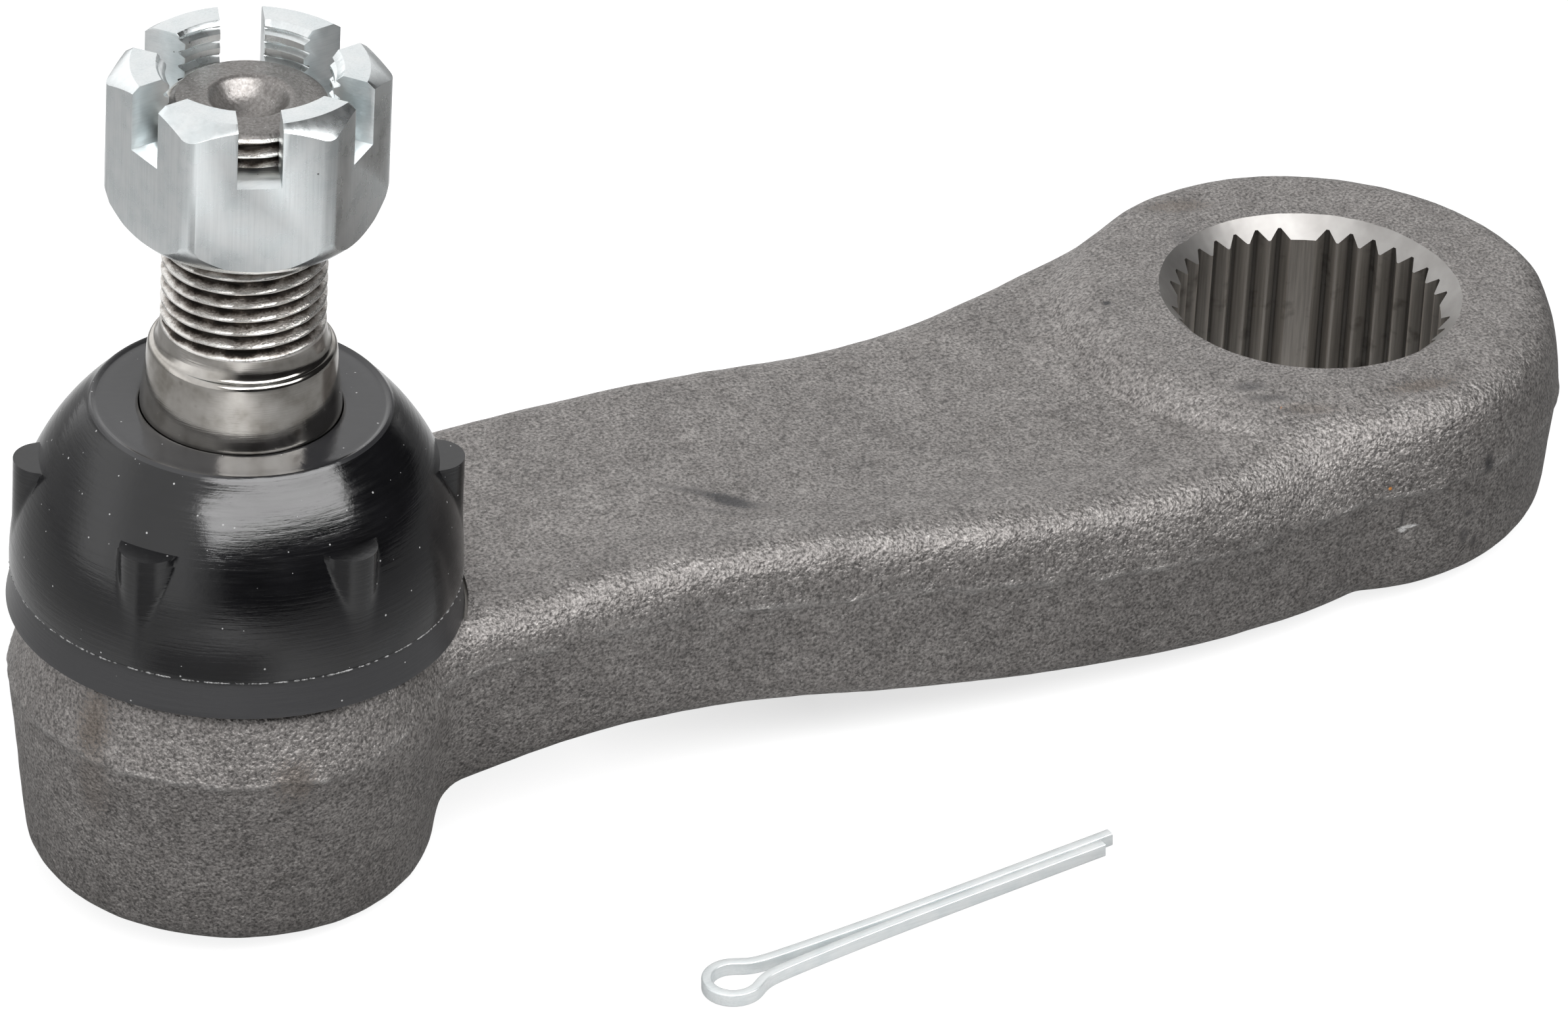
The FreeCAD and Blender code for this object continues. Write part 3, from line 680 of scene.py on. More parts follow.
def finer_near_parting(obj, reach_mm):
    """Split the faces near the parting line, so that a thin ridge fits there."""
    points, _ = mesh_arrays(obj)
    upright = np.abs(point_normals(obj)[:, 2]) < 0.75
    chosen = (np.abs(above_parting(points)) < reach_mm) & upright
    mesh = bmesh.new()
    mesh.from_mesh(obj.data)
    edges = [e for e in mesh.edges if chosen[e.verts[0].index] and chosen[e.verts[1].index]]
    bmesh.ops.subdivide_edges(mesh, edges=edges, cuts=1, use_grid_fill=True)
    mesh.to_mesh(obj.data)
    mesh.free()


finer_near_parting(arm, 1.5)
points, _ = mesh_arrays(arm)
normals = point_normals(arm)
from_parting = above_parting(points) + 0.45 * noise_at(points, 6.0, 4) + 0.22 * noise_at(points, 1.6, 5)
upright = np.clip(1.4 - 1.6 * np.abs(normals[:, 2]), 0, 1)
ragged = np.clip(0.55 + 0.9 * noise_at(points, 2.6, 3) + 0.5 * noise_at(points, 1.1, 6), 0, 1)
ridge = FLASH_HEIGHT * np.exp(-((from_parting / FLASH_WIDTH) ** 2)) * upright * ragged
step = DIE_STEP * smooth_step(from_parting, -0.3, 0.3) * smooth_step(from_parting, 4.5, 0.3) * upright
lumps = 0.09 * noise_at(points, 9.0, 1) + 0.05 * noise_at(points, 2.4, 2)
set_points(arm, points + normals * (ridge + step + lumps)[:, None])
print("flash line stands", ridge.max().round(2), "mm proud")

# %% [markdown]
# The die also left shallow hollows and, round the left of the bore, a fold. Sculpting would place
# them by hand. Here each hollow is a line in a list with its centre, radii and depth, so it can be
# moved or left out. The flash line's height stays with the points as a number, which the material
# reads to make the line paler.

# %% Hollows and fold
DENTS = [
    ((0.6, -20.3, 0.0), (4.6, 1.1, 3.0), 0.26), ((-15.4, -13.4, 0.0), (2.6, 1.3, 3.0), 0.12),
    ((-3.2, 20.6, 0.0), (4.2, 1.2, 3.0), 0.16), ((-6.4, 15.0, 0.0), (1.2, 2.4, 3.0), 0.14),
    ((-12.0, -18.8, -0.3), (4.2, 1.1, 3.0), 0.12), ((-72.6, -7.4, -1.3), (3.2, 1.3, 3.0), 0.10),
    ((-20.0, 7.1, 0.0), (0.8, 0.7, 3.0), 0.22), ((6.1, -25.1, -8.5), (1.2, 3.0, 1.6), 0.14),
]
FOLD_R, FOLD_DEPTH, FOLD_FROM, FOLD_TO = 26.6, 0.32, (128, 142), (232, 214)
points, _ = mesh_arrays(arm)
normals = point_normals(arm)
depth = np.zeros(len(points))
for centre, radii, depth_mm in DENTS:
    depth += depth_mm * np.exp(-(((points - centre) / radii) ** 2).sum(1))
direction = np.degrees(np.arctan2(points[:, 1], points[:, 0])) % 360
from_fold = np.hypot(points[:, 0], points[:, 1]) - FOLD_R + 0.5 * noise_at(points, 5.0, 8)
along = smooth_step(direction, *FOLD_FROM) * smooth_step(direction, *FOLD_TO)
depth += FOLD_DEPTH * np.exp(-((from_fold / 0.6) ** 2)) * along * smooth_step(points[:, 2], -6, -4)
set_points(arm, points - normals * depth[:, None])
set_attribute(arm, "flash", np.clip(ridge / 0.20, 0, 1) * 0.4)
print("deepest hollow", depth.max().round(2), "mm")

# %% [markdown]
# ## Broached bore and socket
# The eye's hole is machined after forging. Four of its 36 places have no notch, so the arm goes on
# its shaft in four ways only. The teeth could be copies of one tooth, but the notches have to run out
# in the chamfers, and a boolean gives that by itself. The cutter is one closed mesh with a cone at
# each end, and the ball's socket is a turned cutter. Cutting with a cutter's own material leaves the
# machined finish where the tool went, and the forged skin everywhere else.

# %% Boolean with cutters


def cut(obj, *cutters, operation="DIFFERENCE"):
    """Boolean with each cutter in turn; the cut faces keep the cutter's material."""
    for cutter in cutters:
        modifier = obj.modifiers.new("cut", "BOOLEAN")
        modifier.operation = operation
        modifier.solver = "EXACT"
        modifier.material_mode = "TRANSFER"
        modifier.object = cutter
        settle(obj)
        bpy.data.objects.remove(cutter)


# %% Bore's cutter
PLACES = 36
BLIND = (60, 150, 240, 330)
TOOTH_HALF, NOTCH_HALF = 4.49, 0.6
CHAMFER_TOP, CHAMFER_BELOW = 2.0, 1.0


def bore_cutter():
    """Closed cutter in four levels: below the eye, the bore's two ends, and above the eye."""
    outline = []
    for place_number in range(PLACES):
        middle = place_number * 360 / PLACES
        if round(middle) in BLIND:
            outline += [(middle + d, TOOTH_R) for d in (-TOOTH_HALF, 0, TOOTH_HALF)]
        else:
            outline += [(middle - TOOTH_HALF, TOOTH_R), (middle - NOTCH_HALF, NOTCH_R),
                        (middle + NOTCH_HALF, NOTCH_R), (middle + TOOTH_HALF, TOOTH_R)]
    count = len(outline)
    points, faces = [], []
    for level in range(4):
        for degrees, radius in outline:
            notch = radius - TOOTH_R
            r, z = [
                (TOOTH_R + CHAMFER_BELOW + 1, EYE_LOW - 1),
                (radius, EYE_LOW + CHAMFER_BELOW - notch),
                (radius, -CHAMFER_TOP + notch),
                (TOOTH_R + CHAMFER_TOP + 1, 1.0),
            ][level]
            points.append((r * math.cos(math.radians(degrees)), r * math.sin(math.radians(degrees)), z))
    for level in range(3):
        for i in range(count):
            j = (i + 1) % count
            low, high = level * count, (level + 1) * count
            faces.append((low + i, low + j, high + j, high + i))
    faces.append(tuple(range(count))[::-1])
    faces.append(tuple(3 * count + i for i in range(count)))
    cutter = piece("bore_cutter", points, faces, [MACHINED, COUNTERSUNK])
    for number, face in enumerate(cutter.data.polygons):
        face.material_index = 0 if count <= number < 2 * count else 1
    return cutter


print("places round the bore:", PLACES, "of them blind:", len(BLIND))

# %% Cut the bore and the socket
SOCKET = [(0, 0), (14.6, 0), (14.6, HOUSING_TOP), (12.5, -4.9), (13.2, -6.6), (13.7, -8.4), (13.9, -9.3),
          (15.5, -9.3), (15.5, -25.2), (17.0, -25.2), (17.0, -27.85), (15.8, -27.85),
          (15.8, HOUSING_LOW - 1), (0, HOUSING_LOW - 1)]
BOOT_SEAT = [(0, HOUSING_TOP), (22.6, HOUSING_TOP), (22.6, 3), (0, 3)]
socket = turned("socket_cutter", SOCKET, [MACHINED])
cut(arm, turned("boot_seat_cutter", BOOT_SEAT, [MACHINED], 144), bore_cutter(), socket)
shade(arm, 38)
show_size(arm)

# %% [markdown]
# ## Steel, zinc and rubber
# The stud is turned steel, so its marks run round it: the grain is squeezed along the axis and
# stretched across it, which draws fine rings without a ring pattern that would look too regular.

# %% Turned steel


def turned_material():
    """Turned steel: fine rings, a cloudy tone and a few brown stains."""
    material, tree, shader = new_material("turned_steel", Metallic=1.0, Roughness=0.13)
    spot = place(tree)
    stretch = add(tree, "ShaderNodeMapping", [(spot, "Vector")], Scale=(0.05, 0.05, 1.0))
    lines = use_group(tree, GRAIN, [(stretch.outputs["Vector"], "Vector")], Size=0.12)
    blotch = use_group(tree, GRAIN, [(spot, "Vector")], Size=0.35)
    colour = ramp(tree, blotch.outputs["Tone"], [
        (0.30, (0.32, 0.30, 0.27)), (0.48, (0.46, 0.44, 0.41)), (0.70, (0.56, 0.54, 0.51)),
    ])
    stain = use_group(tree, SPECKS, [(spot, "Vector")], Spacing=2.2, Share=0.22, Size=0.22)
    colour = mix(tree, maths(tree, "MULTIPLY", stain.outputs["Mask"], 0.55), colour, (0.16, 0.14, 0.12))
    tree.links.new(colour, shader.inputs["Base Color"])
    bump(tree, shader, lines.outputs["Height"], 0.25, 0.02)
    return material


TURNED = turned_material()
print("finish:", TURNED.name)

# %% [markdown]
# The thread holds old grease, which is darkest at the roots. A wave texture could follow the helix,
# but it would drift from the real grooves. The mesh knows how deep each point lies, so it carries that
# as a number, and the material reads it. The stud's end is as it was forged, rough and dark.

# %% Greasy thread


def thread_material():
    """Old grease in the roots: the attribute depth is 1 at a root and 0 at a crest."""
    material, tree, shader = new_material("greasy_thread", Metallic=0.95)
    spot = place(tree)
    depth = tree.nodes.new("ShaderNodeAttribute")
    depth.attribute_name = "depth"
    blotch = use_group(tree, GRAIN, [(spot, "Vector")], Size=0.22, Detail=5.0)
    clumps = maths(tree, "MULTIPLY", maths(tree, "SUBTRACT", blotch.outputs["Tone"], 0.52), 1.5)
    specks = maths(tree, "MULTIPLY", maths(tree, "SUBTRACT", blotch.outputs["Height"], 0.5), 0.5)
    level = maths(tree, "ADD", depth.outputs["Fac"], maths(tree, "ADD", clumps, specks))
    colour = ramp(tree, level, [
        (0.10, (0.74, 0.72, 0.69)), (0.38, (0.42, 0.39, 0.36)), (0.72, (0.075, 0.062, 0.052)),
        (0.95, (0.030, 0.026, 0.023)),
    ])
    tree.links.new(colour, shader.inputs["Base Color"])
    tree.links.new(ramp(tree, level, [(0.1, 0.16), (0.8, 0.5)]), shader.inputs["Roughness"])
    bump(tree, shader, blotch.outputs["Height"], 0.7, 0.08)
    return material


THREAD = thread_material()
print("finish:", THREAD.name)

# %% Forged end and its dimple


def end_material(name, roughness, grain_strength):
    """End of the stud, left as it was forged, with a smoother dimple from the centring tool."""
    material, tree, shader = new_material(name, Metallic=0.85, Roughness=roughness)
    spot = place(tree)
    grain = use_group(tree, GRAIN, [(spot, "Vector")], Size=0.30, Detail=5.0)
    colour = ramp(tree, grain.outputs["Height"], [
        (0.36, (0.19, 0.178, 0.170)), (0.5, (0.25, 0.237, 0.228)), (0.66, (0.32, 0.308, 0.297)),
    ])
    spark = use_group(tree, SPECKS, [(spot, "Vector")], Spacing=0.32, Share=0.2, Size=0.22)
    colour = mix(tree, maths(tree, "MULTIPLY", spark.outputs["Mask"], 0.5), colour, (0.66, 0.64, 0.62))
    tree.links.new(colour, shader.inputs["Base Color"])
    bump(tree, shader, grain.outputs["Height"], grain_strength, 0.12)
    return material


END = end_material("rough_end", 0.40, 0.8)
DIMPLE = end_material("pressed_dimple", 0.36, 0.3)
print("finishes:", END.name, DIMPLE.name)

# %% [markdown]
# Nut and pin are zinc plated: bright, a little blue, with the marks of what was done before plating.
# The bar was drawn, its cones were turned, its slots were sawn and the pin's wire was drawn along its
# length. It is one finish with the lines stretched along another axis each time.

# %% Zinc plate


def zinc_material(name, lines_along, roughness, line_strength, metallic=1.0):
    """Zinc plate with drawing or sawing lines; lines_along is their stretch on each axis."""
    material, tree, shader = new_material(name, Metallic=metallic)
    spot = place(tree)
    stretch = add(tree, "ShaderNodeMapping", [(spot, "Vector")], Scale=lines_along)
    lines = use_group(tree, GRAIN, [(stretch.outputs["Vector"], "Vector")], Size=0.22, Detail=5.0)
    blotch = use_group(tree, GRAIN, [(spot, "Vector")], Size=0.30, Detail=5.0)
    colour = ramp(tree, blotch.outputs["Tone"], [
        (0.34, (0.765, 0.810, 0.820)), (0.5, (0.815, 0.850, 0.857)), (0.66, (0.850, 0.876, 0.880)),
    ])
    streaks = ramp(tree, lines.outputs["Height"], [(0.34, 0.93), (0.56, 1.0)])
    colour = mix(tree, 1.0, colour, streaks, "MULTIPLY")
    spots = use_group(tree, SPECKS, [(spot, "Vector")], Spacing=1.3, Share=0.10, Size=0.08)
    colour = mix(tree, maths(tree, "MULTIPLY", spots.outputs["Mask"], 0.8), colour, (0.14, 0.14, 0.14))
    tree.links.new(colour, shader.inputs["Base Color"])
    cloud = ramp(tree, blotch.outputs["Tone"], [(0.35, roughness - 0.03), (0.65, roughness + 0.04)])
    tree.links.new(cloud, shader.inputs["Roughness"])
    bump(tree, shader, lines.outputs["Height"], line_strength, 0.03)
    return material


ZINC = zinc_material("zinc_drawn", (1.0, 1.0, 0.03), 0.28, 0.16)
TURNED_ZINC = zinc_material("zinc_turned", (0.3, 0.3, 0.5), 0.27, 0.08)
SAWN = zinc_material("zinc_sawn", (0.08, 0.35, 1.0), 0.32, 0.45)
PIN_ZINC = zinc_material("zinc_pin", (0.05, 1.0, 1.0), 0.36, 0.12, metallic=0.55)
print("finishes:", ZINC.name, TURNED_ZINC.name, SAWN.name, PIN_ZINC.name)

# %% [markdown]
# The boot is black rubber, glossy from its mould, rougher on its foot, with painted sheen lightening its
# foot and flat top, and dusty. Its scratches run round it, as the mould was polished on a lathe, so the
# noise is laid out by the turn about the stud and by height instead of by place.

# %% Rubber
BAND_TOP, PLATEAU_Z = 1.3, 19.55


def rubber_material():
    """Moulded rubber: fine scratches round it, a rougher foot, painted sheen on the foot and top, and
    scattered dust.
    """
    material, tree, shader = new_material("boot_rubber", Specular_IOR_Level=0.65)
    spot = place(tree)
    about = add(tree, "ShaderNodeMapping", [(spot, "Vector")], Location=(-STUD_X * MM, 0, 0))
    split = add(tree, "ShaderNodeSeparateXYZ", [(about.outputs["Vector"], "Vector")])
    round_it = maths(tree, "ARCTAN2", split.outputs["Y"], split.outputs["X"])
    lines_at = add(tree, "ShaderNodeCombineXYZ", [
        (maths(tree, "MULTIPLY", round_it, 0.0012), "X"), (split.outputs["Z"], "Z"),
    ])
    lines = use_group(tree, GRAIN, [(lines_at.outputs["Vector"], "Vector")], Size=0.35, Detail=4.0)
    blotch = use_group(tree, GRAIN, [(spot, "Vector")], Size=0.7)
    colour = ramp(tree, blotch.outputs["Tone"], [
        (0.35, (0.003, 0.003, 0.0035)), (0.7, (0.006, 0.006, 0.007)),
    ])
    foot = maths(tree, "LESS_THAN", split.outputs["Z"], BAND_TOP * MM)
    top = maths(tree, "GREATER_THAN", split.outputs["Z"], PLATEAU_Z * MM)
    # Painted sheen: the foot and the flat top get a lighter colour by height alone.
    painted_sheen = maths(tree, "MAXIMUM", foot, top)
    colour = mix(tree, painted_sheen, colour, (0.028, 0.028, 0.030))
    dust = use_group(tree, SPECKS, [(spot, "Vector")], Spacing=0.85, Share=0.22, Size=0.11)
    colour = mix(tree, dust.outputs["Mask"], colour, (0.42, 0.42, 0.42))
    tree.links.new(colour, shader.inputs["Base Color"])
    rough = ramp(tree, lines.outputs["Height"], [(0.35, 0.10), (0.65, 0.22)])
    rough = mix(tree, foot, rough, (0.34, 0.34, 0.34))
    rough = mix(tree, dust.outputs["Mask"], rough, (0.8, 0.8, 0.8))
    tree.links.new(rough, shader.inputs["Roughness"])
    lumps = maths(tree, "MULTIPLY", blotch.outputs["Height"], 0.5)
    bump(tree, shader, maths(tree, "ADD", lines.outputs["Height"], lumps), 0.5, 0.05)
    return material


RUBBER = rubber_material()
print("finish:", RUBBER.name)

# %% Torn rubber


def flash_rubber_material():
    """Torn edge of the moulding flash, pale where it is thin."""
    material, tree, shader = new_material("rubber_flash", Roughness=0.5)
    grain = use_group(tree, GRAIN, [(place(tree), "Vector")], Size=0.4)
    colour = ramp(tree, grain.outputs["Height"], [(0.38, 0.05), (0.62, 0.42)])
    tree.links.new(colour, shader.inputs["Base Color"])
    return material


RUBBER_FLASH = flash_rubber_material()
print("materials:", len(bpy.data.materials))

# %% [markdown]
# ## Ball stud
# The stud has a ball's head, a taper that wedges in its rod and a thread of 1.5 mm pitch. The packed
# one has a plain cylinder where the thread is. A screw modifier could sweep the thread, and a boolean
# would then have to join it to the taper. One grid turned about the axis needs no joining: its radius
# also depends on the turn, so the groove is a true helix that fades out at the neck.

# %% Thread's shape
PITCH = 1.5
THREAD_R, THREAD_DEPTH, THREAD_LOW, THREAD_HIGH = 8.0, 0.92, 28.85, 52.4


def thread_depth_at(turn, z):
    """From 0 on the crest to 1 at the root, for each turn and height."""
    phase = np.mod(z / PITCH - turn / (2 * math.pi), 1.0)
    away = np.abs(phase - 0.5) * 2
    return np.clip((away - 0.14) / 0.70, 0, 1)


print("depth across the thread:", thread_depth_at(0, np.linspace(0, PITCH / 2, 4)).round(2).tolist())

# %% Stud's profile
STUD_END = round(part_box("ball_stud")[1][2] / MM, 2)
BALL_R, HEAD_R, HEAD_DEPTH = 14.0, 13.6, 6.0
CONE_LOW, TAPER_LOW, TAPER_HIGH = 3.0, 8.0, 25.9
TAPER_R, TAPER_SLOPE = 10.96, 0.1
DIMPLE_R, DIMPLE_DEPTH = 3.75, 2.6


def head_profile():
    """Head under the half bearing, shank and the cone up to the taper."""
    sphere = np.linspace(-HEAD_DEPTH, -math.sqrt(BALL_R**2 - HEAD_R**2), 6)
    profile = [(0, BALL_Z - HEAD_DEPTH)]
    profile += [(math.sqrt(BALL_R**2 - h**2), BALL_Z + h) for h in sphere]
    return profile + [(HEAD_R, BALL_Z), (THREAD_R, BALL_Z), (THREAD_R, CONE_LOW), (TAPER_R, TAPER_LOW)]


def arc(centre, radius, start_degrees, end_degrees, steps):
    """Points of an arc in a profile, as (radius, height)."""
    turn = np.radians(np.linspace(start_degrees, end_degrees, steps + 1))
    return [(centre[0] + radius * math.cos(t), centre[1] + radius * math.sin(t)) for t in turn]


def taper_profile():
    """Taper, its rounded shoulder and the neck under the thread."""
    heights = np.linspace(TAPER_LOW + 1, TAPER_HIGH, 12)
    profile = [(TAPER_R - TAPER_SLOPE * (z - TAPER_LOW), z) for z in heights]
    return profile + arc((8.42, 26.0), 0.72, 5, 75, 7) + [(8.42, 26.95), (8.20, 27.5), (THREAD_R, 28.7)]


def end_profile():
    """Rounded end with a raised rim round its spherical dimple; heights are from the stud's end."""
    sphere_r = (DIMPLE_R**2 + DIMPLE_DEPTH**2) / (2 * DIMPLE_DEPTH)
    rim = [(8.0, -0.9), (7.75, -0.6), (7.5, -0.35), (7.25, -0.15), (7.0, -0.02), (6.2, 0), (5.4, 0),
           (4.8, 0.04), (4.4, 0.12), (4.05, 0.06), (DIMPLE_R, -0.22)]
    bowl = [(r, sphere_r - DIMPLE_DEPTH - math.sqrt(sphere_r**2 - r**2)) for r in (3.4, 3, 2.4, 1.6, 0.8)]
    return [(r, STUD_END + z) for r, z in rim + bowl + [(0, -DIMPLE_DEPTH)]]


print("stud's end, mm:", STUD_END)

# %% Stud with its thread


def make_stud():
    """One grid: the profile turned about the axis, with the helix cut into its threaded part."""
    thread = [(THREAD_R, z) for z in np.arange(THREAD_LOW, THREAD_HIGH, 0.125)]
    profile = np.array(head_profile() + taper_profile() + thread + end_profile(), float)
    turns, radius, height = spread(profile, 144)
    fade = np.clip((height - 28.7) / 0.8, 0, 1)
    grooved = THREAD_R - THREAD_DEPTH * thread_depth_at(turns[None, :], height) * fade
    threaded = (profile[:, 1] > 28.8) & (profile[:, 0] > 7.2)
    radius = np.where(threaded[:, None], np.minimum(radius, grooved), radius)
    return grid("ball_stud_turned", radius, height, [TURNED, THREAD, END, DIMPLE])


stud = make_stud()
show_size(stud)

# %% Hole, and the stud's finishes


def drill(name, angle_degrees, z, radius, material):
    """Closed rod across the stud, as a cutter."""
    obj = turned(name, [(0, -15), (radius, -15), (radius, 15), (0, 15)], [material], 40, centre_x=0)
    turn = Matrix.Rotation(math.radians(angle_degrees), 4, "Z") @ Matrix.Rotation(math.pi / 2, 4, "Y")
    obj.data.transform(Matrix.Translation((STUD_X * MM, 0, z * MM)) @ turn)
    return obj


HOLE_ANGLE, HOLE_Z, HOLE_R = 36.8, 44.5, 2.0
cut(stud, drill("hole_cutter", HOLE_ANGLE, HOLE_Z, HOLE_R, THREAD))
points, _ = mesh_arrays(stud)
turn = np.arctan2(points[:, 1], points[:, 0] - STUD_X)
set_attribute(stud, "depth", thread_depth_at(turn, points[:, 2]) * (points[:, 2] > 28.9))
for face in stud.data.polygons:
    z, r = face.center.z / MM, math.hypot(face.center.x / MM - STUD_X, face.center.y / MM)
    in_dimple, on_end = z > 50 and r < 4.3, z > 52.5 and r < 7.6
    face.material_index = 0 if z < 28.6 else 3 if in_dimple else 2 if on_end else 1
shade(stud, 40)
show_size(stud)

# %% [markdown]
# ## Castle nut
# A hexagonal bar with rounded corners, turned to a cone at both ends, drilled, sawn across its flats
# and tapped. Extruded faces could give its shape, but the curved lines where the cones meet the flats
# come right only if they are cut. So the script takes the maker's steps in the maker's order. The
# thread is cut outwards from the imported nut's bore, so the nut can turn on the stud.

# %% Hexagonal bar
NUT_LOW, NUT_HIGH = (round(corner[2] / MM, 2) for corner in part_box("castle_nut"))
NUT_ANGLE, ACROSS_FLATS, CORNER_BEVEL = 6.8, 24.0, 0.95
CORNER = ACROSS_FLATS / math.sqrt(3)


def hexagonal_bar(name, low, high):
    angles = [math.radians(NUT_ANGLE + 30 + 60 * i) for i in range(6)]
    points = [(STUD_X + CORNER * math.cos(a), CORNER * math.sin(a), z) for z in (low, high) for a in angles]
    faces = [(i, (i + 1) % 6, 6 + (i + 1) % 6, 6 + i) for i in range(6)]
    faces += [tuple(range(6))[::-1], tuple(range(6, 12))]
    obj = piece(name, points, faces, [ZINC])
    mesh = bmesh.new()
    mesh.from_mesh(obj.data)
    upright = [e for e in mesh.edges if abs(e.verts[0].co.z - e.verts[1].co.z) > 1e-4]
    bmesh.ops.bevel(mesh, geom=upright, offset=CORNER_BEVEL * MM, segments=5, profile=0.5, affect="EDGES")
    mesh.to_mesh(obj.data)
    mesh.free()
    tidy_mesh(obj)
    return obj


nut = hexagonal_bar("castle_nut_plated", NUT_LOW, NUT_HIGH)
show_size(nut)

# %% Turned, drilled and sawn
SLOT_WIDTH, SLOT_DEPTH = 4.25, 6.6
BORE_R, COUNTERSINK = 8.05, 0.9


def bevel(obj, width_mm, segments=2, degrees=30):
    """Break the edges that are sharper than the angle."""
    modifier = obj.modifiers.new("edges", "BEVEL")
    modifier.width = width_mm * MM
    modifier.segments = segments
    modifier.limit_method = "ANGLE"
    modifier.angle_limit = math.radians(degrees)
    modifier.harden_normals = False
    settle(obj)


def box_cutter(name, size_mm, centre_mm, angle_degrees, material):
    x, y, z = (s / 2 for s in size_mm)
    points = [(i * x, j * y, k * z) for i in (-1, 1) for j in (-1, 1) for k in (-1, 1)]
    faces = [(0, 1, 3, 2), (4, 6, 7, 5), (0, 4, 5, 1), (2, 3, 7, 6), (0, 2, 6, 4), (1, 5, 7, 3)]
    obj = piece(name, points, faces, [material])
    turn = Matrix.Rotation(math.radians(angle_degrees), 4, "Z")
    obj.data.transform(Matrix.Translation([c * MM for c in centre_mm]) @ turn)
    tidy_mesh(obj)
    return obj


envelope = turned("envelope", [
    (0, NUT_LOW), (10.2, NUT_LOW), (11.34, NUT_LOW + 0.7), (12.39, NUT_LOW + 1.67),
    (13.22, NUT_LOW + 2.89), (13.86, NUT_LOW + 5.0), (14.3, NUT_LOW + 7.5), (14.3, NUT_HIGH - 2.18),
    (CORNER, NUT_HIGH - 1.85), (11.4, NUT_HIGH), (0, NUT_HIGH),
], [TURNED_ZINC], 144)
cut(nut, envelope, operation="INTERSECT")
mouth = BORE_R + COUNTERSINK + 1
drilled = turned("drilled", [
    (0, NUT_LOW - 1), (mouth, NUT_LOW - 1), (BORE_R, NUT_LOW + COUNTERSINK), (BORE_R, NUT_HIGH - COUNTERSINK),
    (mouth, NUT_HIGH + 1), (0, NUT_HIGH + 1),
], [ZINC], 144)
saw = (34, SLOT_WIDTH, SLOT_DEPTH + 2)
saw_centre = (STUD_X, 0, NUT_HIGH - SLOT_DEPTH + saw[2] / 2)
slots = [box_cutter("saw", saw, saw_centre, NUT_ANGLE + 60 * i, SAWN) for i in range(3)]
cut(nut, drilled, *slots)
bevel(nut, 0.16, 2, 28)
show_size(nut)

# %% Nut's thread


def tap(low, high, core, crest):
    """Closed threaded rod: a helical ridge on a plain core."""
    heights = np.arange(low, high, 0.125)
    heights = np.concatenate([heights[:1], heights, heights[-1:]])
    turns, radius, height = spread([(crest, z) for z in heights], 144)
    radius = radius - (crest - core) * thread_depth_at(turns[None, :], height + 0.4)
    radius[0] = radius[-1] = 0
    return grid("tap", radius, height, [ZINC])


cut(nut, tap(NUT_LOW - 1, NUT_HIGH + 1, 7.7, 8.72))
shade(nut, 35)
show_size(nut)

# %% [markdown]
# ## Dust boot
# A rubber dome keeps grease in and water out, with six lugs to turn it by. It is made as two rings
# that meet half-way up: the skirt goes from the arm to the boot's own body, and the crown goes on from
# there to the bearing. Lugs joined on as pieces of their own would tear off if the wall leaned. Each
# ring is a turned grid instead, and the lugs are places where its radius reaches out to a small upright
# cylinder.

# %% Dome
DOME_LOW, DOME_HIGH, DOME_CURVE = (22.0, 1.6), (14.4, 19.8), 23.5
WALL = 2.4


def dome_profile():
    """Outer face from just above the band to the edge of the flat top, as an arc."""
    low, high = np.array(DOME_LOW), np.array(DOME_HIGH)
    middle, chord = (low + high) / 2, high - low
    length = math.hypot(*chord)
    across = np.array([chord[1], -chord[0]]) / length
    centre = middle - across * math.sqrt(DOME_CURVE**2 - (length / 2) ** 2)
    start = math.atan2(*(low - centre)[::-1])
    end = math.atan2(*(high - centre)[::-1])
    t = np.linspace(start, end, 60)
    return centre + DOME_CURVE * np.stack([np.cos(t), np.sin(t)], axis=1)


DOME = dome_profile()


def dome_points(heights, inwards=0.0):
    """Points of the dome's face, or of the wall's inner side, at the heights."""
    return [(float(np.interp(z, DOME[:, 1], DOME[:, 0])) - inwards, z) for z in heights]


print("dome, mm:", DOME[0].round(1).tolist(), DOME[-1].round(1).tolist())

# %% Lugs
LUG_TOP, LUG_LOW, LUG_R, LUG_REACH, LUG_ANGLE = 13.4, 2.5, 2.9, 21.8, 35.0


def lug_radius(turn):
    """Reach of the nearest lug's cylinder in each direction, or 0 beside it."""
    off = np.mod(np.degrees(turn) - LUG_ANGLE + 30, 60) - 30
    centre = LUG_REACH - LUG_R
    side = np.abs(centre * np.sin(np.radians(off)))
    reach = centre * np.cos(np.radians(off)) + np.sqrt(np.maximum(LUG_R**2 - side**2, 0))
    return np.where(side < LUG_R, reach, 0)


def soft_max(a, b, width):
    """Larger of two, with a fillet where they are nearly equal."""
    gap = np.clip(0.5 + 0.5 * (a - b) / width, 0, 1)
    return b + (a - b) * gap + width * gap * (1 - gap)


def boot_ring(name, outer, inner):
    """Closed ring of rubber from its outer and inner points, with its share of the lugs."""
    profile = np.array(outer + inner + outer[:1], float)
    turns, radius, height = spread(profile, 480)
    reach = lug_radius(turns)[None, :]
    lugged = (np.arange(len(profile)) < len(outer)) & (profile[:, 1] > LUG_LOW) & (profile[:, 1] < LUG_TOP)
    radius = np.where(lugged[:, None], soft_max(reach, radius, 0.35), radius)
    return grid(name, radius, height, [RUBBER])


print("reach at a lug and between two, mm:", lug_radius(np.radians([LUG_ANGLE, LUG_ANGLE + 30])).round(1))

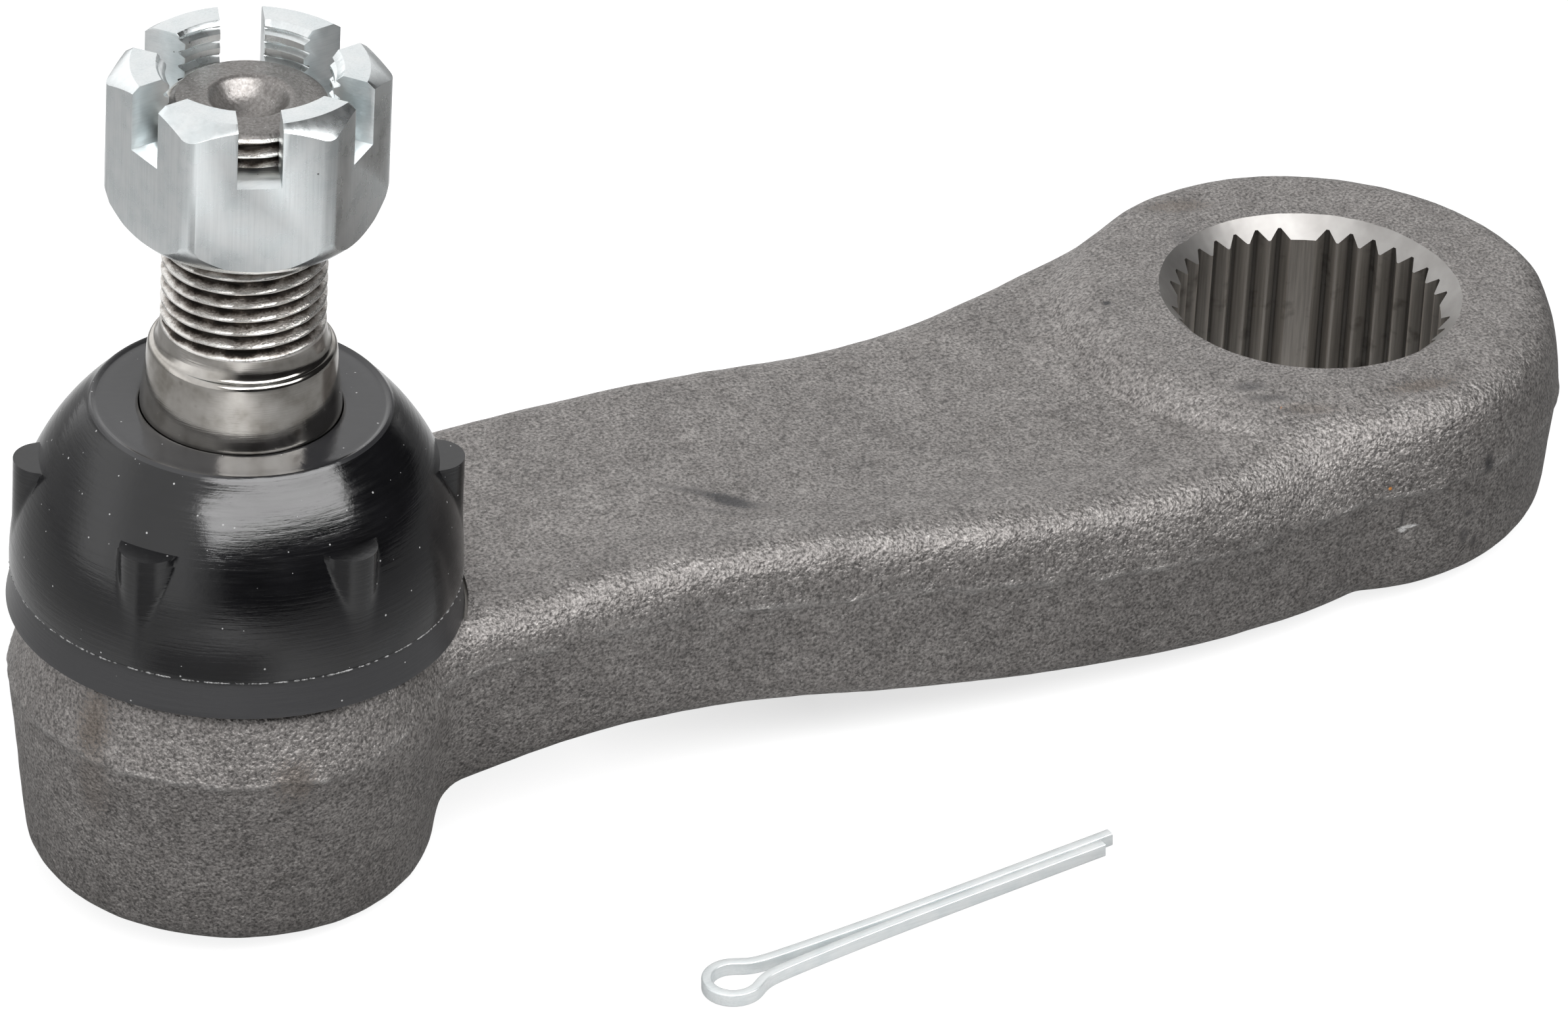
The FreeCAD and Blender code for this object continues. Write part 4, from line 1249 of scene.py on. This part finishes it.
# %% Skirt
SEAM_Z, FOOT_Z, LIP_Z = 9.5, -1.5, 18.5
foot = [(21.55, -2.5), (22.1, -2.5), (22.27, -2.35)]
band = list(zip(np.linspace(22.24, 21.62, 12), np.linspace(-2.1, 1.18, 12)))
step = [(21.64, 1.28), (21.74, 1.36), (21.95, 1.46)]
skirt = dome_points(list(np.arange(1.6, SEAM_Z - 0.1, 0.2)) + [SEAM_Z])
inside_skirt = dome_points((SEAM_Z, 6, 3.5, 1.6), WALL) + [(19.2, -0.5), (18.6, -2.2)]
skirt_ring = boot_ring("boot_skirt", foot + band + step + skirt, inside_skirt)
shade(skirt_ring, 42)
show_size(skirt_ring)

# %% Crown
crown_z = list(np.arange(SEAM_Z, LUG_TOP - 0.1, 0.2)) + [LUG_TOP - 0.08, LUG_TOP - 0.02, LUG_TOP]
crown_z += list(np.arange(LUG_TOP + 0.2, 19.2, 0.2)) + [19.3]
edge = [(14.74, 19.50), (14.60, 19.72), (14.42, 19.86), (14.22, 19.84), (14.02, 19.66), (13.8, 19.62)]
flat = [(r, 19.66) for r in (13.4, 12.6, 11.8, 11.0, 10.4)]
lip = [(10.08, 19.62), (9.9, 19.52), (9.86, 19.38)]
inside_crown = [(9.96, 18.6), (10.43, 18.4), (12.6, 17.4)] + dome_points((14, 11, SEAM_Z), WALL)
crown_ring = boot_ring("boot_crown", dome_points(crown_z) + edge + flat + lip, inside_crown)
shade(crown_ring, 42)
show_size(crown_ring)

# %% [markdown]
# Where the mould closed, a torn edge of rubber is left along the step above the foot. It is a row of
# small uneven beads on a circle, so Geometry Nodes spread them: a share of the places, chosen by a
# fixed seed, gets a bead, and each bead has a size of its own.

# %% Helpers for Geometry Nodes


def node_tree(name, inputs):
    """Geometry Nodes tree with named inputs, given as name: kind."""
    tree = bpy.data.node_groups.new(name, "GeometryNodeTree")
    sockets = {}
    for key, kind in inputs.items():
        sockets[key] = tree.interface.new_socket(key, in_out="INPUT", socket_type="NodeSocket" + kind)
    tree.interface.new_socket("Geometry", in_out="OUTPUT", socket_type="NodeSocketGeometry")
    return tree, sockets, tree.nodes.new("NodeGroupInput").outputs, tree.nodes.new("NodeGroupOutput").inputs


def new_curve(name, kind, points_mm, cyclic=False):
    """Curve of one spline through or along points in millimetres."""
    curve = bpy.data.curves.new(name, "CURVE")
    curve.dimensions = "3D"
    spline = curve.splines.new(kind)
    spline.points.add(len(points_mm) - 1)
    for point, place_mm in zip(spline.points, points_mm):
        point.co = (*(value * MM for value in place_mm), 1)
    spline.use_cyclic_u = cyclic
    return curve


def mesh_from_nodes(name, curve, tree, sockets, values):
    """Plain mesh of what the tree makes of the curve; each input is set by its socket's identifier."""
    holder = bpy.data.objects.new(name + "_path", curve)
    bpy.context.scene.collection.objects.link(holder)
    modifier = holder.modifiers.new("nodes", "NODES")
    modifier.node_group = tree
    for key, value in values.items():
        modifier[sockets[key].identifier] = value
    evaluated = holder.evaluated_get(bpy.context.evaluated_depsgraph_get())
    mesh = bpy.data.meshes.new_from_object(evaluated)
    bpy.data.objects.remove(holder)
    obj = bpy.data.objects.new(name, mesh)
    bpy.context.scene.collection.objects.link(obj)
    return obj


# %% Flash beads


def bead_nodes():
    """Tree that puts small uneven beads at some of the places along a curve."""
    tree, sockets, inside, outside = node_tree("flash_beads", {
        "Geometry": "Geometry", "Places": "Int", "Share": "Float", "Radius": "Float", "Seed": "Int",
        "Material": "Material",
    })
    places = add(tree, "GeometryNodeCurveToPoints", [
        (inside["Geometry"], "Curve"), (inside["Places"], "Count"),
    ], mode="COUNT")
    chosen = add(tree, "FunctionNodeRandomValue", data_type="BOOLEAN")
    tree.links.new(inside["Share"], chosen.inputs["Probability"])
    tree.links.new(inside["Seed"], chosen.inputs["Seed"])
    size = add(tree, "FunctionNodeRandomValue", data_type="FLOAT_VECTOR")
    size.inputs[0].default_value, size.inputs[1].default_value = (0.5, 0.5, 0.9), (1.1, 1.1, 2.6)
    tree.links.new(inside["Seed"], size.inputs["Seed"])
    bead = add(tree, "GeometryNodeMeshIcoSphere", [(inside["Radius"], "Radius")], Subdivisions=2)
    put = add(tree, "GeometryNodeInstanceOnPoints", [
        (places.outputs["Points"], "Points"), (chosen.outputs[3], "Selection"),
        (bead.outputs["Mesh"], "Instance"), (places.outputs["Rotation"], "Rotation"),
        (size.outputs[0], "Scale"),
    ])
    real = add(tree, "GeometryNodeRealizeInstances", [(put.outputs["Instances"], "Geometry")])
    painted = add(tree, "GeometryNodeSetMaterial", [
        (real.outputs["Geometry"], "Geometry"), (inside["Material"], "Material"),
    ])
    tree.links.new(painted.outputs["Geometry"], outside[0])
    return tree, sockets


FLASH_R, FLASH_Z = 21.93, 1.42
circle = [
    (STUD_X + FLASH_R * math.cos(turn), FLASH_R * math.sin(turn), FLASH_Z)
    for turn in np.linspace(0, 2 * math.pi, 120, endpoint=False)
]
flash_beads = mesh_from_nodes("boot_flash", new_curve("boot_flash", "POLY", circle, True), *bead_nodes(), {
    "Places": 420, "Share": 0.55, "Radius": 0.13 * MM, "Seed": 5, "Material": RUBBER_FLASH,
})
shade(flash_beads, 60)
show_size(flash_beads)

# %% [markdown]
# ## Cotter pin
# The pin is one half-flat wire bent round a loop, with one prong longer than the other. A box for
# each prong and a ring for the loop would meet in hard corners. Geometry Nodes sweeps a rounded
# section along the wire's path instead, as the wire is drawn and bent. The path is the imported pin's
# middle line.

# %% Pin's path
WIRE_WIDTH, WIRE_HEIGHT, WIRE_ROUNDING = 1.05, 1.45, 0.2
PIN_LENGTH, PIN_OVERHANG = 45.5, 1.6
LOOP_R, NECK_GAP, PRONG_GAP = 2.65, 1.1, 0.12
NECK_ANGLE = math.radians(35)


def pin_path():
    """Middle line of the wire, from the near prong's end round the loop to the far prong's end."""
    half = WIRE_WIDTH / 2
    bend_y, prong_y = NECK_GAP / 2 + half, PRONG_GAP / 2 + half
    bend_x = LOOP_R * math.sin(NECK_ANGLE) + (LOOP_R * math.cos(NECK_ANGLE) - bend_y) / math.tan(NECK_ANGLE)
    end_x = PIN_LENGTH - LOOP_R - half
    near = [(end_x, -prong_y), (bend_x + 18, -prong_y), (bend_x + 9, -prong_y - 0.2),
            (bend_x + 3, -bend_y + 0.04), (bend_x + 0.7, -bend_y - 0.1), (bend_x - 0.5, -bend_y - 0.42)]
    turns = np.radians(np.linspace(-50, -310, 17))
    loop = [(LOOP_R * math.cos(t), LOOP_R * math.sin(t)) for t in turns]
    far = [(x, -y) for x, y in near[::-1]]
    far[-1] = (end_x + PIN_OVERHANG, prong_y)
    return [(x, y, 0) for x, y in near + loop + far]


print("points along the wire:", len(pin_path()))

# %% Pin


def sweep_nodes():
    """Tree that sweeps a rounded rectangle along a curve and gives it a material."""
    tree, sockets, inside, outside = node_tree("sweep_wire", {
        "Geometry": "Geometry", "Width": "Float", "Height": "Float", "Rounding": "Float",
        "Material": "Material",
    })
    section = add(tree, "GeometryNodeCurvePrimitiveQuadrilateral", [
        (inside["Width"], "Width"), (inside["Height"], "Height"),
    ])
    rounded = add(tree, "GeometryNodeFilletCurve", [
        (section.outputs["Curve"], "Curve"), (inside["Rounding"], "Radius"),
    ], mode="POLY")
    rounded.inputs["Count"].default_value = 4
    swept = add(tree, "GeometryNodeCurveToMesh", [
        (inside["Geometry"], "Curve"), (rounded.outputs[0], "Profile Curve"),
    ])
    swept.inputs["Fill Caps"].default_value = True
    painted = add(tree, "GeometryNodeSetMaterial", [
        (swept.outputs["Mesh"], "Geometry"), (inside["Material"], "Material"),
    ])
    tree.links.new(painted.outputs["Geometry"], outside[0])
    return tree, sockets


wire_path = new_curve("cotter_pin_wire", "NURBS", pin_path())
wire_path.twist_mode = "Z_UP"
wire_path.splines[0].order_u = 4
wire_path.splines[0].use_endpoint_u = True
wire_path.splines[0].resolution_u = 12
pin = mesh_from_nodes("cotter_pin_wire", wire_path, *sweep_nodes(), {
    "Width": WIRE_WIDTH * MM, "Height": WIRE_HEIGHT * MM, "Rounding": WIRE_ROUNDING * MM,
    "Material": PIN_ZINC,
})
show_size(pin)

# %% [markdown]
# The pin lies beside the arm, on the plane that the arm rests on. That plane slopes a little in the
# arm's frame, because the housing's foot and the eye stand on it at different depths.

# %% Pin laid down
REST_X, REST_Z, REST_SLOPE = -106.2, -30.3, 0.06474
PIN_AT, PIN_ANGLE, PIN_LIFT = (-93.3, -46.4), 1.9, 0.02
lie = Matrix.Rotation(-math.atan(REST_SLOPE), 4, "Y") @ Matrix.Rotation(math.radians(PIN_ANGLE), 4, "Z")
pin_z = REST_Z + REST_SLOPE * (PIN_AT[0] - REST_X) + WIRE_HEIGHT / 2 + PIN_LIFT
pin.data.transform(Matrix.Translation((PIN_AT[0] * MM, PIN_AT[1] * MM, pin_z * MM)) @ lie)
tidy_mesh(pin)
shade(pin, 40)
show_size(pin)

# %% [markdown]
# ## What each piece rides on
# The poses move bodies, so each rigid piece is parented to the body that carries it and rides on that
# one body, and the imported node that it stands for is hidden. The boot's rings and the beads of torn
# rubber are only set in place, and the imported boot is hidden. The four pieces inside the housing are
# right as packed, so they only get a finish.

# %% Bodies, slots and replaced nodes
for obj, node, body, slot in (
    (arm, "arm_forging", "arm", "forged_steel"),
    (stud, "ball_stud", "stud", "turned_steel"),
    (nut, "castle_nut", "nut", "zinc_plate"),
    (pin, "cotter_pin", "arm", "zinc_plate"),
):
    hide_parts(node)
    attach(obj, body)
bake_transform(skirt_ring)
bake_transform(flash_beads)
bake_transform(crown_ring)
for ring in (skirt_ring, crown_ring, flash_beads):
    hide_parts("dust_boot")
for node, material in (
    ("half_ball_bearing", TURNED), ("pressure_seat", RUBBER), ("preload_spring", TURNED),
    ("cover_plate", ZINC),
):
    data = frame["nodes"][node].data
    data.materials.clear()
    data.materials.append(material)
    print(node, "is shown as packed, in", material.name)

# %% [markdown]
# ## Studio
# The part stands on a plain pale floor, tilted as the part rests. Bright metal and glossy rubber show
# what is around them, so that is made like a photographer's table: white to the camera, while to
# everything else the floor is darker in places and the room fades to dark on one side. One large soft
# lamp above and in front gives the highlights.

# %% Floor
FLOOR_HALF = 3000
DARK_PATCHES = ((STUD_X, 0), (-190, -75))


def floor_material():
    """White to the camera, but grey and darker in patches to what mirrors it."""
    material, tree, shader = new_material("floor_white", Roughness=0.9)
    spot = place(tree)
    across = add(tree, "ShaderNodeVectorMath", [(spot, 0)], operation="DOT_PRODUCT")
    across.inputs[1].default_value = (0.85, -0.53, 0)
    colour = ramp(tree, maths(tree, "ADD", maths(tree, "MULTIPLY", across.outputs["Value"], 2.5), 0.6), [
        (0.05, 0.34), (0.27, 0.62), (0.38, 0.64), (0.55, 0.30), (0.75, 0.16),
    ])
    for x, y in DARK_PATCHES:
        away = add(tree, "ShaderNodeVectorMath", [(spot, 0)], operation="DISTANCE")
        away.inputs[1].default_value = (x * MM, y * MM, REST_Z * MM)
        away = maths(tree, "MULTIPLY", away.outputs["Value"], 10.0)
        colour = mix(tree, 1.0, colour, ramp(tree, away, [(0.38, 0.34), (0.62, 1.0)]), "MULTIPLY")
    tree.links.new(colour, shader.inputs["Base Color"])
    shader.inputs["Specular IOR Level"].default_value = 0.0
    shader.inputs["Emission Color"].default_value = (1, 1, 1, 1)
    # What the colour takes from the floor is given back as light, but to the camera only.
    path = tree.nodes.new("ShaderNodeLightPath")
    shown = maths(tree, "SUBTRACT", 1.03, maths(tree, "MULTIPLY", colour, 0.8))
    seen = maths(tree, "MULTIPLY", path.outputs["Is Camera Ray"], shown)
    mirrored = maths(tree, "MULTIPLY", path.outputs["Is Glossy Ray"], maths(tree, "MULTIPLY", colour, 0.22))
    tree.links.new(maths(tree, "ADD", seen, mirrored), shader.inputs["Emission Strength"])
    return material


corners = [(FLOOR_HALF * i, FLOOR_HALF * j) for i, j in ((-1, -1), (1, -1), (1, 1), (-1, 1))]
floor_points = [(x, y, REST_Z + REST_SLOPE * (x - REST_X)) for x, y in corners]
floor = piece("floor", floor_points, [(0, 1, 2, 3)], [floor_material()])
show_size(floor)

# %% Surroundings and lamp
DARK_SIDE = (0.57, -0.80, 0.17)


def surroundings(seen, light, dark):
    """World that is white to the camera; as a light it fades to dark towards one side."""
    world = bpy.data.worlds.new("studio")
    bpy.context.scene.world = world
    world.use_nodes = True
    tree = world.node_tree
    background = tree.nodes["Background"]
    background.inputs["Color"].default_value = (1, 1, 1, 1)
    path = tree.nodes.new("ShaderNodeLightPath")
    towards = add(tree, "ShaderNodeVectorMath", [
        (tree.nodes.new("ShaderNodeTexCoord").outputs["Generated"], 0),
    ], operation="DOT_PRODUCT")
    towards.inputs[1].default_value = DARK_SIDE
    room = ramp(tree, maths(tree, "ADD", maths(tree, "MULTIPLY", towards.outputs["Value"], 0.5), 0.5), [
        (0.03, 0.25), (0.09, 0.74), (0.15, 0.80), (0.26, 0.58), (0.50, 0.58), (0.70, dark),
    ])
    room = maths(tree, "MULTIPLY", room, light)
    strength = mix(tree, path.outputs["Is Camera Ray"], room, (seen, seen, seen))
    tree.links.new(strength, background.inputs["Strength"])


def soft_lamp(name, place_mm, target_mm, width_mm, height_mm, watts):
    lamp = bpy.data.lights.new(name, "AREA")
    lamp.shape = "RECTANGLE"
    lamp.size, lamp.size_y = width_mm * MM, height_mm * MM
    lamp.energy = watts
    obj = bpy.data.objects.new(name, lamp)
    bpy.context.scene.collection.objects.link(obj)
    at, to = Vector(place_mm) * MM, Vector(target_mm) * MM
    obj.matrix_world = Matrix.Translation(at) @ (to - at).to_track_quat("-Z", "Y").to_matrix().to_4x4()


surroundings(seen=1.0, light=1.7, dark=0.012)
soft_lamp("window", (-90, -590, 690), (-60, 0, 0), 1400, 420, 12.0)
print("lamps:", [lamp.name for lamp in bpy.data.lights])

# %% [markdown]
# ## Camera
# Place, direction, roll and focal length come from fitting the circles seen in the photograph: a
# circle in the picture gives its tilt, and several at known radii give how far away they are.

# %% Camera
CAMERA_AT = (-594.5, -851.2, 610.9)
AZIMUTH, ELEVATION, ROLL = math.radians(-32.05), math.radians(31.693), math.radians(3.221)
ahead = Vector((
    -math.sin(AZIMUTH) * math.cos(ELEVATION), math.cos(AZIMUTH) * math.cos(ELEVATION), -math.sin(ELEVATION)
))
level = Vector((math.cos(AZIMUTH), math.sin(AZIMUTH), 0))
upward = level.cross(ahead)
right = level * math.cos(ROLL) + upward * math.sin(ROLL)
above = upward * math.cos(ROLL) - level * math.sin(ROLL)
camera_data = bpy.data.cameras.new("camera")
camera_data.lens = 271.8
camera_data.sensor_width = 36
camera_data.clip_end = 20
camera = bpy.data.objects.new("camera", camera_data)
bpy.context.scene.collection.objects.link(camera)
turn = Matrix((right, above, -ahead)).transposed().to_4x4()
camera.matrix_world = Matrix.Translation(Vector(CAMERA_AT) * MM) @ turn
bpy.context.scene.camera = camera
print("camera, mm from the eye:", round(Vector(CAMERA_AT).length))
bpy.context.scene.view_settings.view_transform = "Standard"
